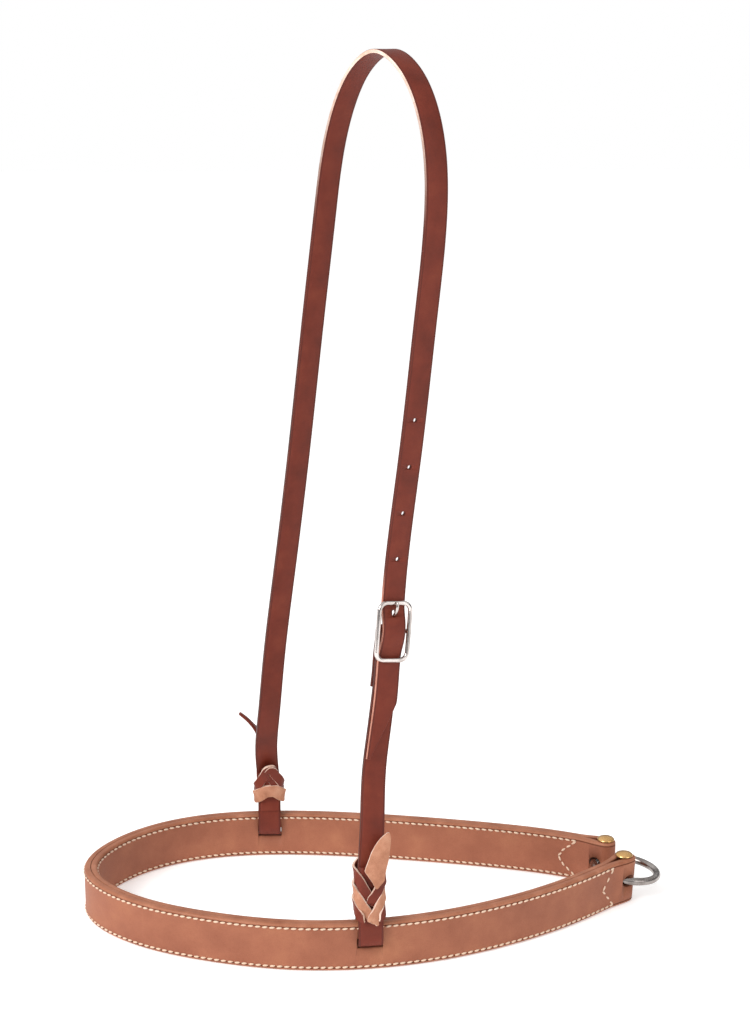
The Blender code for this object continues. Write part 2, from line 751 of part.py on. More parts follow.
def far_tail(path):
    """Thin end turning on itself and curling away past the strap's left edge."""
    root = Vector(FAR_RISE[1])
    angle = width_angle(0.066, True)
    width = Vector((math.cos(angle), math.sin(angle), 0.0))
    out = Vector((-width.y, width.x, 0.0))
    rows = [(0.0, 0.0078, -0.0100), (0.0, 0.0067, -0.0040), (-0.0008, 0.0059, 0.0015), (-0.0030, 0.0055, 0.0080),
            (-0.0062, 0.0055, 0.0130), (-0.0100, 0.0056, 0.0175), (-0.0138, 0.0058, 0.0210)]
    count = 24
    points = spline([root + width * a + out * b + Vector((0.0, 0.0, c)) for a, b, c in rows], count)
    frames = []
    sections = []
    for k, (spot, direction) in enumerate(zip(points, tangents(points))):
        share = k / (count - 1.0)
        twist = math.radians(78.0) * smooth_step(share / 0.6)
        across = width * math.cos(twist) + out * math.sin(twist)
        across = (across - direction * across.dot(direction)).normalized()
        frames.append((spot, across, direction.cross(across).normalized()))
        sections.append(strip_section(0.0046 * (1.0 - 0.76 * share ** 1.6), 0.0008, 0.00025))
    return sweep("far_tail", frames, sections, "latigo_leather")


# -------------------------------------------------------------- buckle


def buckle_outline(centre, width, along, half_w, half_h, corner):
    points = []
    outs = []
    for quarter, (sa, sb) in enumerate(((1, 1), (-1, 1), (-1, -1), (1, -1))):
        for k in range(6):
            angle = 0.5 * math.pi * (quarter + k / 5.0)
            out = width * math.cos(angle) + along * math.sin(angle)
            points.append(centre + width * sa * (half_w - corner) + along * sb * (half_h - corner) + out * corner)
            outs.append(out)
    return points, outs


def buckle_frame():
    centre, width, along, out = buckle_frame_axes()
    half_w = 0.5 * BUCKLE_WIDTH - BUCKLE_WIRE
    half_h = 0.5 * BUCKLE_HEIGHT - BUCKLE_WIRE
    points, outs = buckle_outline(centre, width, along, half_w, half_h, 0.0042)
    frames = [(p, o, out) for p, o in zip(points, outs)]
    return sweep("buckle_frame", frames, [round_section(BUCKLE_WIRE, 8)] * len(frames), "nickel", closed=True)


def buckle_centre_bar():
    """Dropped bar: across behind the strap, ends turned forward to the frame sides."""
    centre, width, along, out = buckle_frame_axes()
    reach = 0.5 * BUCKLE_WIDTH - BUCKLE_WIRE
    start = -(BUCKLE_WIRE + GAP)
    rows = [(-reach, start), (-reach, -BAR_BACK + 0.0014), (-reach + 0.0004, -BAR_BACK + 0.0005),
            (-reach + 0.0014, -BAR_BACK), (reach - 0.0014, -BAR_BACK), (reach - 0.0004, -BAR_BACK + 0.0005),
            (reach, -BAR_BACK + 0.0014), (reach, start)]
    points = [centre + width * a + out * b for a, b in rows]
    frames = []
    for point, direction in zip(points, tangents(points)):
        frames.append((point, along, direction.cross(along).normalized()))
    sections = [round_section(BUCKLE_WIRE, 10)] * len(frames)
    return sweep("buckle_centre_bar", frames, sections, "nickel")


def buckle_tongue():
    centre, width, along, out = buckle_frame_axes()
    eye = BUCKLE_WIRE + GAP + TONGUE_WIRE
    points = []
    for k in range(0, 11):
        angle = math.radians(100.0 + 260.0 * k / 10.0)
        points.append(centre + out * (-BAR_BACK + eye * math.cos(angle)) + along * eye * math.sin(angle))
    rows = [(0.0030, -BAR_BACK + eye), (0.0056, -0.0023), (0.0078, -0.0010), (0.0098, 0.0010),
            (0.0118, 0.0021), (0.0140, BUCKLE_WIRE + 0.00035 + TONGUE_WIRE), (0.0158, 0.0022)]
    points += spline([centre + along * a + out * b for a, b in rows], 16)
    frames = []
    for point, direction in zip(points, tangents(points)):
        frames.append((point, width, direction.cross(width).normalized()))
    sections = [round_section(TONGUE_WIRE, 8)] * len(frames)
    return sweep("buckle_tongue", frames, sections, "nickel")


def set_origin(thing, place):
    """Put an object's origin on its joint axis without moving its shape."""
    place = place + SHIFT
    thing.data.transform(Matrix.Translation(-place))
    thing.location = place


def build():
    clear_scene()
    path = band_plan()
    centre, normal, middle, across = ring_pose(path, RING_DROOP)
    outer = noseband_outer_ply(path)
    drilled(outer, [burr_seat_cutter(path[0]), burr_seat_cutter(path[-1])])
    noseband_lining(path)
    end_rivet("near_end_rivet", path[0])
    end_rivet("far_end_rivet", path[-1])
    rivet_burr("near_rivet_burr", path[0])
    rivet_burr("far_rivet_burr", path[-1])
    ring = tie_ring(path)
    set_origin(ring, middle)
    stitching("outer_stitching", path, 1.0, "cream_thread")
    stitching("inner_stitching", path, -1.0, "lining_thread")
    near_slot = band_point(path, NEAR_SLOT_X, False)[0]
    hanger = [
        crown_strap(path),
        near_cheek_strap(path),
        knot("near_knot", path, NEAR_SLOT_X, False, 0.0290, 0.0530),
        knot("far_knot", path, FAR_SLOT_X, True, 0.0290, 0.0540),
        near_tail(path),
        far_tail(path),
    ]
    for thing in hanger:
        set_origin(thing, near_slot)
    bar = buckle_frame_axes()[0] - buckle_frame_axes()[3] * BAR_BACK
    for thing in (buckle_frame(), buckle_centre_bar(), buckle_tongue()):
        set_origin(thing, bar)
    print("band length", round(lengths(path)[-1], 4), "near slot", tuple(near_slot + SHIFT))
    print("far slot", tuple(band_point(path, FAR_SLOT_X, True)[0] + SHIFT))
    print("ring", tuple(centre + SHIFT), tuple(normal), "pins middle", tuple(middle + SHIFT), tuple(across))
    print("buckle", tuple(bar + SHIFT), [tuple(v) for v in buckle_frame_axes()[1:]])


build()
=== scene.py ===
import math

import bmesh
import bpy
import numpy as np
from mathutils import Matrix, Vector


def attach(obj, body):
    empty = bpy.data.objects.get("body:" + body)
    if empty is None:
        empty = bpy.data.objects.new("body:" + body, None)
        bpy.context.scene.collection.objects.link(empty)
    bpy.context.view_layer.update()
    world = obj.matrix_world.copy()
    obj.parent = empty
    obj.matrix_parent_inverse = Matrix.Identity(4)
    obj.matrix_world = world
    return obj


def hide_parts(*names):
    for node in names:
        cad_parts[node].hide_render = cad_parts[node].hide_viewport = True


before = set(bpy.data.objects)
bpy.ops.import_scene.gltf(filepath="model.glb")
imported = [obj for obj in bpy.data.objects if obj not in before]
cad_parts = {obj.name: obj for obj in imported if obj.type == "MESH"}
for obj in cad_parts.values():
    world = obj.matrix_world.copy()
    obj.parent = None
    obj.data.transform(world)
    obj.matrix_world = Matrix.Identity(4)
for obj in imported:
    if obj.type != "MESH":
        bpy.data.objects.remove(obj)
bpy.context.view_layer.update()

sceneRoot = bpy.context.scene.collection
shift = Vector((-0.00394, 0.00278, 0.0))  # puts the band's plan over the origin
upAxis = Vector((0.0, 0.0, 1.0))

# ---- small tools


def linear(hexColour):
    values = [int(hexColour[i:i + 2], 16) / 255.0 for i in (1, 3, 5)]
    return tuple(v / 12.92 if v <= 0.04045 else ((v + 0.055) / 1.055) ** 2.4 for v in values) + (1.0,)


def addNode(tree, kind, settings=None, links=None, **inputs):
    node = tree.nodes.new(kind)
    for key, value in (settings or {}).items():
        setattr(node, key, value)
    for key, value in inputs.items():
        name = key.replace("_", " ")
        node.inputs[int(name[1:]) if name[0] == "i" and name[1:].isdigit() else name].default_value = value
    for key, source in (links or {}).items():
        tree.links.new(source, node.inputs[key])
    return node


def newMaterial(name, **shaderInputs):
    material = bpy.data.materials.new(name)
    material.use_nodes = True
    shader = material.node_tree.nodes["Principled BSDF"]
    for key, value in shaderInputs.items():
        shader.inputs[key.replace("_", " ")].default_value = value
    return material, material.node_tree, shader


def setStops(ramp, stops):
    elements = ramp.color_ramp.elements
    while len(elements) < len(stops):
        elements.new(0.5)
    for element, (place, hexColour) in zip(elements, stops):
        element.position = place
        element.color = linear(hexColour)


def plainMesh(name, verts, faces, edges=()):
    mesh = bpy.data.meshes.new(name)
    mesh.from_pydata([tuple(v) for v in verts], list(edges), faces)
    return mesh


def placeObject(name, data):
    thing = bpy.data.objects.new(name, data)
    sceneRoot.objects.link(thing)
    return thing


def evaluatedMesh(thing):
    return bpy.data.meshes.new_from_object(thing.evaluated_get(bpy.context.evaluated_depsgraph_get()))


def squareTo(vector, direction):
    return (vector - direction * vector.dot(direction)).normalized()


def smoothPath(points, count):
    points = np.array([tuple(p) for p in points], float)
    steps = np.linalg.norm(np.diff(points, axis=0), axis=1)
    knots = np.concatenate([[0.0], np.cumsum(steps)])
    total = len(points)
    system = np.eye(total)
    right = np.zeros_like(points)
    for i in range(1, total - 1):
        system[i, i - 1:i + 2] = steps[i - 1], 2.0 * (steps[i - 1] + steps[i]), steps[i]
        right[i] = 6.0 * ((points[i + 1] - points[i]) / steps[i] - (points[i] - points[i - 1]) / steps[i - 1])
    bend = np.linalg.solve(system, right)
    out = []
    for where in np.linspace(0.0, knots[-1], count):
        i = int(min(max(np.searchsorted(knots, where) - 1, 0), total - 2))
        h = steps[i]
        a, b = (knots[i + 1] - where) / h, (where - knots[i]) / h
        curve = (a ** 3 - a) * bend[i] + (b ** 3 - b) * bend[i + 1]
        value = a * points[i] + b * points[i + 1] + curve * h * h / 6.0
        out.append(Vector(value.tolist()))
    return out


def directions(path, closed=False):
    last = len(path)
    out = []
    for i in range(last):
        before = path[(i - 1) % last] if closed else path[max(i - 1, 0)]
        after = path[(i + 1) % last] if closed else path[min(i + 1, last - 1)]
        out.append((after - before).normalized())
    return out


def runLengths(path):
    out = [0.0]
    for before, after in zip(path, path[1:]):
        out.append(out[-1] + (after - before).length)
    return out


def ease(value):
    value = min(max(value, 0.0), 1.0)
    return value * value * (3.0 - 2.0 * value)


def finishObject(name, mesh, materials, smoothAngle=35.0):
    shape = bmesh.new()
    shape.from_mesh(mesh)
    bmesh.ops.recalc_face_normals(shape, faces=shape.faces)
    shape.to_mesh(mesh)
    shape.free()
    mesh.shade_smooth()
    mesh.set_sharp_from_angle(angle=math.radians(smoothAngle))
    for material in materials:
        mesh.materials.append(material)
    return placeObject(name, mesh)


def sweepMesh(name, frames, sections, slots, closed=False, acrossAxis=0):
    # slots gives the material of each side of the section; the map holds metres along and metres across
    verts, faces, marks, coords = [], [], [], []
    sides, rings = len(sections[0]), len(frames)
    runs = runLengths([f[0] for f in frames] + ([frames[0][0]] if closed else []))
    for (point, first, second), section in zip(frames, sections):
        verts += [tuple(point + first * a + second * b) for a, b in section]
    for i in range(rings if closed else rings - 1):
        j = (i + 1) % rings
        for k in range(sides):
            n = (k + 1) % sides
            faces.append((i * sides + k, i * sides + n, j * sides + n, j * sides + k))
            marks.append(slots[k])
            low, high = sections[i][k][acrossAxis], sections[i][n][acrossAxis]
            coords += [(runs[i], low), (runs[i], high), (runs[i + 1], high), (runs[i + 1], low)]
    if not closed:
        for i in (0, rings - 1):
            faces.append(tuple(i * sides + k for k in range(sides)))
            marks.append(max(slots))
            coords += [(runs[i], sections[i][k][acrossAxis]) for k in range(sides)]
    mesh = plainMesh(name, verts, faces)
    mapping = mesh.uv_layers.new(name="alongAcross")
    mapping.data.foreach_set("uv", [v for pair in coords for v in pair])
    mesh.polygons.foreach_set("material_index", marks)
    return mesh


def cutWith(thing, cutters):
    for cutter in cutters:
        cut = thing.modifiers.new("cut", "BOOLEAN")
        cut.solver = "EXACT"
        cut.object = cutter
    solid = evaluatedMesh(thing)
    old = thing.data
    thing.modifiers.clear()
    thing.data = solid
    bpy.data.meshes.remove(old)
    for cutter in cutters:
        bpy.data.objects.remove(cutter, do_unlink=True)
    return thing


def roundSection(radius, sides):
    return [(radius * math.cos(2 * math.pi * k / sides), radius * math.sin(2 * math.pi * k / sides))
            for k in range(sides)]


def cornerSection(halfA, halfB, cornersAB, steps=3):
    # rectangle with its own corner radius at (+,+), (-,+), (-,-), (+,-)
    out = []
    for quarter, (sa, sb, r) in enumerate(zip((1, -1, -1, 1), (1, 1, -1, -1), cornersAB)):
        for k in range(steps + 1):
            angle = 0.5 * math.pi * (quarter + k / steps)
            out.append((sa * (halfA - r) + r * math.cos(angle), sb * (halfB - r) + r * math.sin(angle)))
    return out


# ---- materials


def leatherFinish(name, base, dark, light, roughness, poreSize, mottleSize, poreDepth, grooveAndPaintedLight=None):
    material, tree, shader = newMaterial(name, Roughness=roughness, IOR=1.46, Specular_IOR_Level=0.28)
    place = addNode(tree, "ShaderNodeTexCoord")
    mottle = addNode(tree, "ShaderNodeTexNoise", links={"Vector": place.outputs["Object"]},
            Scale=1.0 / mottleSize, Detail=5.0, Roughness=0.6)
    tone = addNode(tree, "ShaderNodeValToRGB", links={"Fac": mottle.outputs["Fac"]})
    setStops(tone, [(0.30, dark), (0.52, base), (0.78, light)])
    pores = addNode(tree, "ShaderNodeTexVoronoi", {"feature": "DISTANCE_TO_EDGE"},
            links={"Vector": place.outputs["Object"]}, Scale=1.0 / poreSize, Randomness=1.0)
    poreEdge = addNode(tree, "ShaderNodeMapRange", links={"Value": pores.outputs["Distance"]},
            From_Min=0.0, From_Max=0.16, To_Min=0.0, To_Max=1.0)
    fine = addNode(tree, "ShaderNodeTexNoise", links={"Vector": place.outputs["Object"]},
            Scale=0.5 / poreSize, Detail=3.0)
    relief = addNode(tree, "ShaderNodeMath", {"operation": "MULTIPLY_ADD"},
            links={0: poreEdge.outputs["Result"], 2: fine.outputs["Fac"]}, i1=0.35)
    colour = addNode(tree, "ShaderNodeMix", {"data_type": "RGBA", "blend_type": "MULTIPLY"},
            links={6: tone.outputs["Color"]}, i0=0.18)
    poreTint = addNode(tree, "ShaderNodeValToRGB", links={"Fac": poreEdge.outputs["Result"]})
    setStops(poreTint, [(0.0, "#8a8078"), (1.0, "#ffffff")])
    tree.links.new(poreTint.outputs["Color"], colour.inputs[7])
    last = colour.outputs[2]
    height = relief.outputs["Value"]
    # the stitch groove is sunk by the bump and darkened as painted shade; the rim beyond it takes a painted tint, a
    # highlight on the russet and shade on the latigo
    if grooveAndPaintedLight:
        centre, width, rimPaintedLightTint, grooveShadeTint = grooveAndPaintedLight
        across = addNode(tree, "ShaderNodeUVMap", {"uv_map": "alongAcross"})
        split = addNode(tree, "ShaderNodeSeparateXYZ", links={"Vector": across.outputs["UV"]})
        away = addNode(tree, "ShaderNodeMath", {"operation": "ABSOLUTE"}, links={0: split.outputs["Y"]})
        offset = addNode(tree, "ShaderNodeMath", {"operation": "SUBTRACT"},
                links={0: away.outputs["Value"]}, i1=centre)
        near = addNode(tree, "ShaderNodeMath", {"operation": "ABSOLUTE"}, links={0: offset.outputs["Value"]})
        groove = addNode(tree, "ShaderNodeMapRange", {"interpolation_type": "SMOOTHSTEP"},
                links={"Value": near.outputs["Value"]}, From_Min=width * 0.3, From_Max=width,
                To_Min=1.0, To_Max=0.0)
        rim = addNode(tree, "ShaderNodeMapRange", {"interpolation_type": "SMOOTHSTEP"},
                links={"Value": offset.outputs["Value"]}, From_Min=width * 0.9, From_Max=width * 2.0,
                To_Min=0.0, To_Max=0.75)
        inGroove = addNode(tree, "ShaderNodeMix", {"data_type": "RGBA"},
                links={0: groove.outputs["Result"], 6: last}, i7=linear(grooveShadeTint))
        onRim = addNode(tree, "ShaderNodeMix", {"data_type": "RGBA"},
                links={0: rim.outputs["Result"], 6: inGroove.outputs[2]}, i7=linear(rimPaintedLightTint))
        last = onRim.outputs[2]
        sunk = addNode(tree, "ShaderNodeMath", {"operation": "MULTIPLY_ADD"},
                links={0: groove.outputs["Result"], 2: height}, i1=-3.0)
        height = sunk.outputs["Value"]
    bump = addNode(tree, "ShaderNodeBump", links={"Height": height}, Strength=0.5, Distance=poreDepth)
    tree.links.new(last, shader.inputs["Base Color"])
    tree.links.new(bump.outputs["Normal"], shader.inputs["Normal"])
    sheenNoise = addNode(tree, "ShaderNodeMapRange", links={"Value": mottle.outputs["Fac"]},
            From_Min=0.3, From_Max=0.7, To_Min=roughness - 0.07, To_Max=roughness + 0.09)
    tree.links.new(sheenNoise.outputs["Result"], shader.inputs["Roughness"])
    return material


def metalFinish(name, base, tarnish, roughness, scratchSize, wear):
    material, tree, shader = newMaterial(name, Metallic=1.0)
    place = addNode(tree, "ShaderNodeTexCoord")
    cloud = addNode(tree, "ShaderNodeTexNoise", links={"Vector": place.outputs["Object"]},
            Scale=1.0 / (scratchSize * 12.0), Detail=4.0)
    tone = addNode(tree, "ShaderNodeValToRGB", links={"Fac": cloud.outputs["Fac"]})
    setStops(tone, [(0.35, tarnish), (0.62, base)])
    scratch = addNode(tree, "ShaderNodeTexNoise", links={"Vector": place.outputs["Object"]},
            Scale=1.0 / scratchSize, Detail=2.0, Distortion=1.5)
    rough = addNode(tree, "ShaderNodeMapRange", links={"Value": scratch.outputs["Fac"]},
            From_Min=0.3, From_Max=0.7, To_Min=roughness - wear, To_Max=roughness + wear)
    bump = addNode(tree, "ShaderNodeBump", links={"Height": scratch.outputs["Fac"]}, Strength=0.25,
            Distance=0.00002)
    tree.links.new(tone.outputs["Color"], shader.inputs["Base Color"])
    tree.links.new(rough.outputs["Result"], shader.inputs["Roughness"])
    tree.links.new(bump.outputs["Normal"], shader.inputs["Normal"])
    return material


def threadFinish(name, base, shade):
    # waxed three-cord linen thread: soft, barely shiny, with its twist as slanting lines
    material, tree, shader = newMaterial(name, Roughness=0.6, Sheen_Weight=0.15)
    place = addNode(tree, "ShaderNodeTexCoord")
    twist = addNode(tree, "ShaderNodeTexWave", links={"Vector": place.outputs["Object"]}, Scale=900.0,
            Distortion=2.0, Detail=1.0)
    tone = addNode(tree, "ShaderNodeValToRGB", links={"Fac": twist.outputs["Fac"]})
    setStops(tone, [(0.0, shade), (1.0, base)])
    bump = addNode(tree, "ShaderNodeBump", links={"Height": twist.outputs["Fac"]}, Strength=0.3,
            Distance=0.00008)
    tree.links.new(tone.outputs["Color"], shader.inputs["Base Color"])
    tree.links.new(bump.outputs["Normal"], shader.inputs["Normal"])
    return material


# vegetable-tanned harness leather, oiled: warm russet, satin, fine pores, with painted shade darkening the creased
# groove along the stitching and a painted highlight on the rim beyond it
russetGrain = leatherFinish(
    "russetHarnessLeather", "#a0634a", "#935841", "#af7254", 0.52, 0.0007, 0.022, 0.00012,
    (0.0112, 0.0008, "#c08468", "#74412b"))
# its cut edges, bevelled and rubbed: a little redder and smoother than the face
russetEdge = leatherFinish("burnishedHarnessEdge", "#a86c50", "#965b41", "#bd8166", 0.42, 0.0009, 0.012,
        0.00006)
# latigo, a leather stuffed with wax and oil: dark ox-blood red, waxy sheen, with painted shade making it almost black
# along its rims and darker in the groove just inside them
latigoGrain = leatherFinish(
    "oxbloodLatigo", "#722d1e", "#632517", "#7f3927", 0.50, 0.0006, 0.016, 0.00010,
    (0.0057, 0.0005, "#31130e", "#5c261c"))
# edge of a freshly slit latigo strand, where the pale middle of the hide shows
latigoEdge = leatherFinish("latigoCutEdge", "#e2c4b2", "#c99f88", "#f2e0d4", 0.6, 0.0006, 0.006, 0.00008)
# strap edge painted nearly black as shade, for the strap sides that lie in shadow
latigoShadeEdge = leatherFinish("latigoPaintedShadeEdge", "#4a2019", "#381712", "#6b3a30", 0.45, 0.0006, 0.006,
        0.00008)


def edgeWithPaintedShade():
    # strap edge: pale cut leather over the crown and a little less pale along the billet, with painted shade making it
    # dark between
    material = leatherFinish("latigoPaleEdgeShaded", "#ecd0c0", "#d8b09a", "#f6e6dc", 0.5, 0.0006, 0.006, 0.00008)
    tree = material.node_tree
    shader = tree.nodes["Principled BSDF"]
    hide = shader.inputs["Base Color"].links[0].from_socket
    place = addNode(tree, "ShaderNodeTexCoord")
    axes = addNode(tree, "ShaderNodeSeparateXYZ", links={"Vector": place.outputs["Object"]})
    height = addNode(tree, "ShaderNodeMapRange", links={"Value": axes.outputs["Z"]}, From_Min=0.0,
            From_Max=0.5)
    # painted shade: dark from a little above the buckle up to below the crown
    heightShade = addNode(tree, "ShaderNodeValToRGB", links={"Fac": height.outputs["Result"]})
    setStops(heightShade, [(0.37, "#d0a296"), (0.40, "#5c2a22"), (0.74, "#5c2a22"), (0.90, "#ffffff")])
    edgeShaded = addNode(tree, "ShaderNodeMix", {"data_type": "RGBA", "blend_type": "MULTIPLY"},
            links={6: heightShade.outputs["Color"], 7: hide}, i0=1.0)
    tree.links.new(edgeShaded.outputs[2], shader.inputs["Base Color"])
    return material


latigoPaleEdgeShaded = edgeWithPaintedShade()
# latigo flesh side, undyed: pale, matt and a little fuzzy
fleshSide = leatherFinish("latigoFleshSide", "#bd8468", "#a97156", "#cf9c80", 0.72, 0.0006, 0.008, 0.00016)
# waxed linen thread: cream, with a slanting twist
creamThread = threadFinish("waxedCreamThread", "#f0d8c0", "#cfa98c")
# solid brass, polished by handling: warm, with a broad soft highlight
brass = metalFinish("polishedBrass", "#e3b679", "#be8c50", 0.24, 0.0012, 0.06)
# plain welded steel wire, dulled by use: grey, with streaked highlights
dullSteel = metalFinish("dullSteelWire", "#b2aba7", "#857d79", 0.22, 0.0008, 0.08)
# nickel-plated wire: bright and slightly warm
brightNickel = metalFinish("brightNickelPlate", "#ddd4d0", "#aaa19c", 0.15, 0.0010, 0.05)
# leather fibre inside a punched slot or hole: pale and matt, the raw fibre's own colour kept light also as a painted
# highlight for the lit lower lip of each slot
cutWall = leatherFinish("slotWall", "#c08a70", "#a06a50", "#d4a088", 0.7, 0.0006, 0.006, 0.00008)
print("materials ready")

# ---- noseband plan

bandSizes = {
    "height": 0.0254,
    "ply": 0.00335,
    "gap": 0.0003,
    "endReturn": 0.062,
    "farReturn": 0.0815,
    "endSlant": 0.13,  # how far the near end leans outward, per metre of height
    "slantFrom": 0.7,  # share of the height that stays in place
    "slantLimit": 0.0005,
    "slantReach": 0.008,
    "slantBlend": 0.010,
    "foldBlend": 0.016,  # the plies spread apart over this length, to fold round the pins
    "crease": 0.0111,
    "edgeRound": 0.0013,
    "creaseEdge": 0.0003,
    "pinRadius": 0.0019,
    "stitchInset": 0.0021,
    "stations": [(0.1400, -0.0036), (0.105, -0.0315), (0.070, -0.0520), (0.020, -0.0697), (-0.040, -0.0726),
        (-0.090, -0.0585), (-0.128, -0.0362), (-0.1507, 0.0), (-0.128, 0.0454), (-0.090, 0.0649),
        (-0.040, 0.0676), (0.020, 0.0573), (0.070, 0.0441), (0.105, 0.0318), (0.1337, 0.0175)],
    "nearSlotX": -0.004,
    "farSlotX": -0.0536,
    "slotWidth": 0.0132,
    "slotHeight": 0.0052,
    "slotLip": 0.0004,
    "slotZ": 0.0149,
}
plyOffset = 0.5 * (bandSizes["ply"] + bandSizes["gap"])


def outward(direction):
    return Vector((-direction.y, direction.x, 0.0)).normalized()


bandPlan = [(x, y, 0.5 * bandSizes["height"]) for x, y in bandSizes["stations"]]
bandPath = [p + shift for p in smoothPath(bandPlan, 417)]
bandRuns = runLengths(bandPath)
bandTotal = bandRuns[-1]
bandDirections = directions(bandPath)


def plySpread(run):
    nearEnd = min(run, bandTotal - run)
    fold = bandSizes["pinRadius"] + bandSizes["gap"] + 0.5 * bandSizes["ply"]
    return plyOffset + (fold - plyOffset) * (1.0 - ease(nearEnd / bandSizes["foldBlend"]))


def offsetRun(side, start, stop, extra=0.0):
    out = []
    for point, direction, run in zip(bandPath, bandDirections, bandRuns):
        if start - 1e-6 <= run <= stop + 1e-6:
            normal = outward(direction)
            out.append((point + normal * side * (plySpread(run) + extra), normal * side, run))
    return out


def bandPoint(x, far):
    best = None
    for point, direction in zip(bandPath, bandDirections):
        miss = abs(point.x - x - shift.x)
        if (point.y > 0.0) == far and point.x < 0.1 and (best is None or miss < best[0]):
            best = (miss, point, direction)
    miss, point, direction = best
    return point + direction * ((x + shift.x - point.x) / direction.x), outward(direction)


def foldPoints(atStart):
    pin = bandPath[0] if atStart else bandPath[-1]
    direction = bandDirections[0] if atStart else bandDirections[-1]
    away = -direction if atStart else direction
    normal = outward(direction)
    radius = bandSizes["pinRadius"] + bandSizes["gap"] + 0.5 * bandSizes["ply"]
    out = []
    for k in range(1, 21):
        angle = math.pi * k / 21.0
        out.append(pin - normal * radius * math.cos(angle) + away * radius * math.sin(angle))
    return out if atStart else out[::-1]


def plySection():
    # exposed side at +, its edges rubbed round, with the crease that an edge creaser leaves
    half, tall, crease = 0.5 * bandSizes["ply"], 0.5 * bandSizes["height"], bandSizes["crease"]
    worn, dip = bandSizes["edgeRound"], bandSizes["creaseEdge"]
    section = cornerSection(half, tall, (worn, 0.0002, 0.0002, worn), 4)
    section += [(half - dip, -crease), (half, dip - crease), (half, crease - dip), (half - dip, crease)]
    slots = [1] * len(section)
    for k in (9, 19, 20, 21, 22, 23):
        slots[k] = 0
    return section, slots


def boxCutter(centre, along, across, up, size):
    verts = [centre + along * (i * size[0]) + across * (j * size[1]) + up * (k * size[2])
            for i in (-0.5, 0.5) for j in (-0.5, 0.5) for k in (-0.5, 0.5)]
    faces = [(0, 1, 3, 2), (4, 6, 7, 5), (0, 4, 5, 1), (2, 3, 7, 6), (0, 2, 6, 4), (1, 5, 7, 3)]
    return finishObject("slotCutter", plainMesh("slotCutter", verts, faces), [cutWall])


ringSizes = {
    "radius": 0.0175,
    "wire": 0.0021,
    "slot": 0.0034,
    "clear": 0.0004,
    "droop": math.radians(8.0),
    "slotDroop": math.radians(2.0),
    "around": 144,
    "sides": 28,
}


def ringPose(droop):
    near, far = bandPath[0], bandPath[-1]
    middle = 0.5 * (near + far)
    across = (far - near).normalized()
    away = Vector((across.y, -across.x, 0.0))
    reach = ringSizes["radius"] - ringSizes["wire"] - bandSizes["pinRadius"] - ringSizes["clear"]
    ahead = math.sqrt(reach ** 2 - (0.5 * (far - near).length) ** 2)
    drooped = away * math.cos(droop) - upAxis * math.sin(droop)
    normal = across.cross(drooped).normalized()
    return middle + drooped * ahead, -normal if normal.z < 0.0 else normal


def ringFrames(centre, normal, radius, count):
    first = squareTo(Vector((1.0, 0.0, 0.0)), normal)
    second = normal.cross(first)
    frames = []
    for k in range(count):
        out = first * math.cos(2 * math.pi * k / count) + second * math.sin(2 * math.pi * k / count)
        frames.append((centre + out * radius, out, normal))
    return frames


def bandCutters(ringToo=True):
    cutters = []
    for x, far in ((bandSizes["nearSlotX"], False), (bandSizes["farSlotX"], True)):
        point, normal = bandPoint(x, far)
        along = Vector((-normal.y, normal.x, 0.0))
        centre = Vector((point.x, point.y, bandSizes["slotZ"] - 0.5 * bandSizes["slotLip"]))
        cutters.append(boxCutter(centre, along, normal, upAxis, (bandSizes["slotWidth"], 0.02,
                bandSizes["slotHeight"] + bandSizes["slotLip"])))
    if ringToo:
        centre, normal = ringPose(ringSizes["slotDroop"])
        frames = ringFrames(centre, normal, ringSizes["radius"], 72)
        mesh = sweepMesh("ringSlotCutter", frames, [roundSection(ringSizes["slot"], 18)] * 72, [0] * 18,
                closed=True)
        cutters.append(finishObject("ringSlotCutter", mesh, [cutWall]))
    return cutters


def makePly(name, points, cutters):
    section, slots = plySection()
    frames = [(p, outward(d), upAxis) for p, d in zip(points, directions(points))]
    mesh = sweepMesh(name, frames, [section] * len(frames), slots, acrossAxis=1)
    thing = cutWith(finishObject(name, mesh, [russetGrain, russetEdge]), cutters)
    tip, sizes = bandPath[0], bandSizes
    for vert in thing.data.vertices:
        if vert.co.y < 0.5 * (tip.y + bandPath[-1].y):
            share = ease((vert.co.x - tip.x + sizes["slantReach"]) / sizes["slantBlend"])
            lean = sizes["endSlant"] * (vert.co.z - sizes["slantFrom"] * sizes["height"])
            vert.co.x += share * max(lean, -sizes["slantLimit"])


outerPoints = [p for p, n, r in offsetRun(-1.0, 0.0, bandSizes["endReturn"])][::-1]
outerPoints += foldPoints(True)
outerPoints += [p for p, n, r in offsetRun(1.0, 0.0, bandTotal)]
outerPoints += foldPoints(False)
outerPoints += [p for p, n, r in offsetRun(-1.0, bandTotal - bandSizes["farReturn"], bandTotal)][::-1]
makePly("outerPly", outerPoints, bandCutters())
# one step more at each end, so that the lining meets the folded ends
pathStep = bandTotal / (len(bandPath) - 1)
liningRun = offsetRun(-1.0, bandSizes["endReturn"] - pathStep, bandTotal - bandSizes["farReturn"] + pathStep)
makePly("liningPly", [p for p, n, r in liningRun][::-1], bandCutters(False))
print("noseband plies done")

# ---- stitching, laid along a path by geometry nodes

stitchSizes = {
    "pitch": 0.0037,
    "length": 0.0029,
    "thick": 0.00058,
    "slant": math.radians(8.0),
    "proud": 0.00006,
    "nearCorner": 0.013,  # corners and points of the V rows, measured from each end of the band
    "nearApex": 0.021,
    "farCorner": 0.017,
    "farApex": 0.027,
    "legSteps": 8,
}


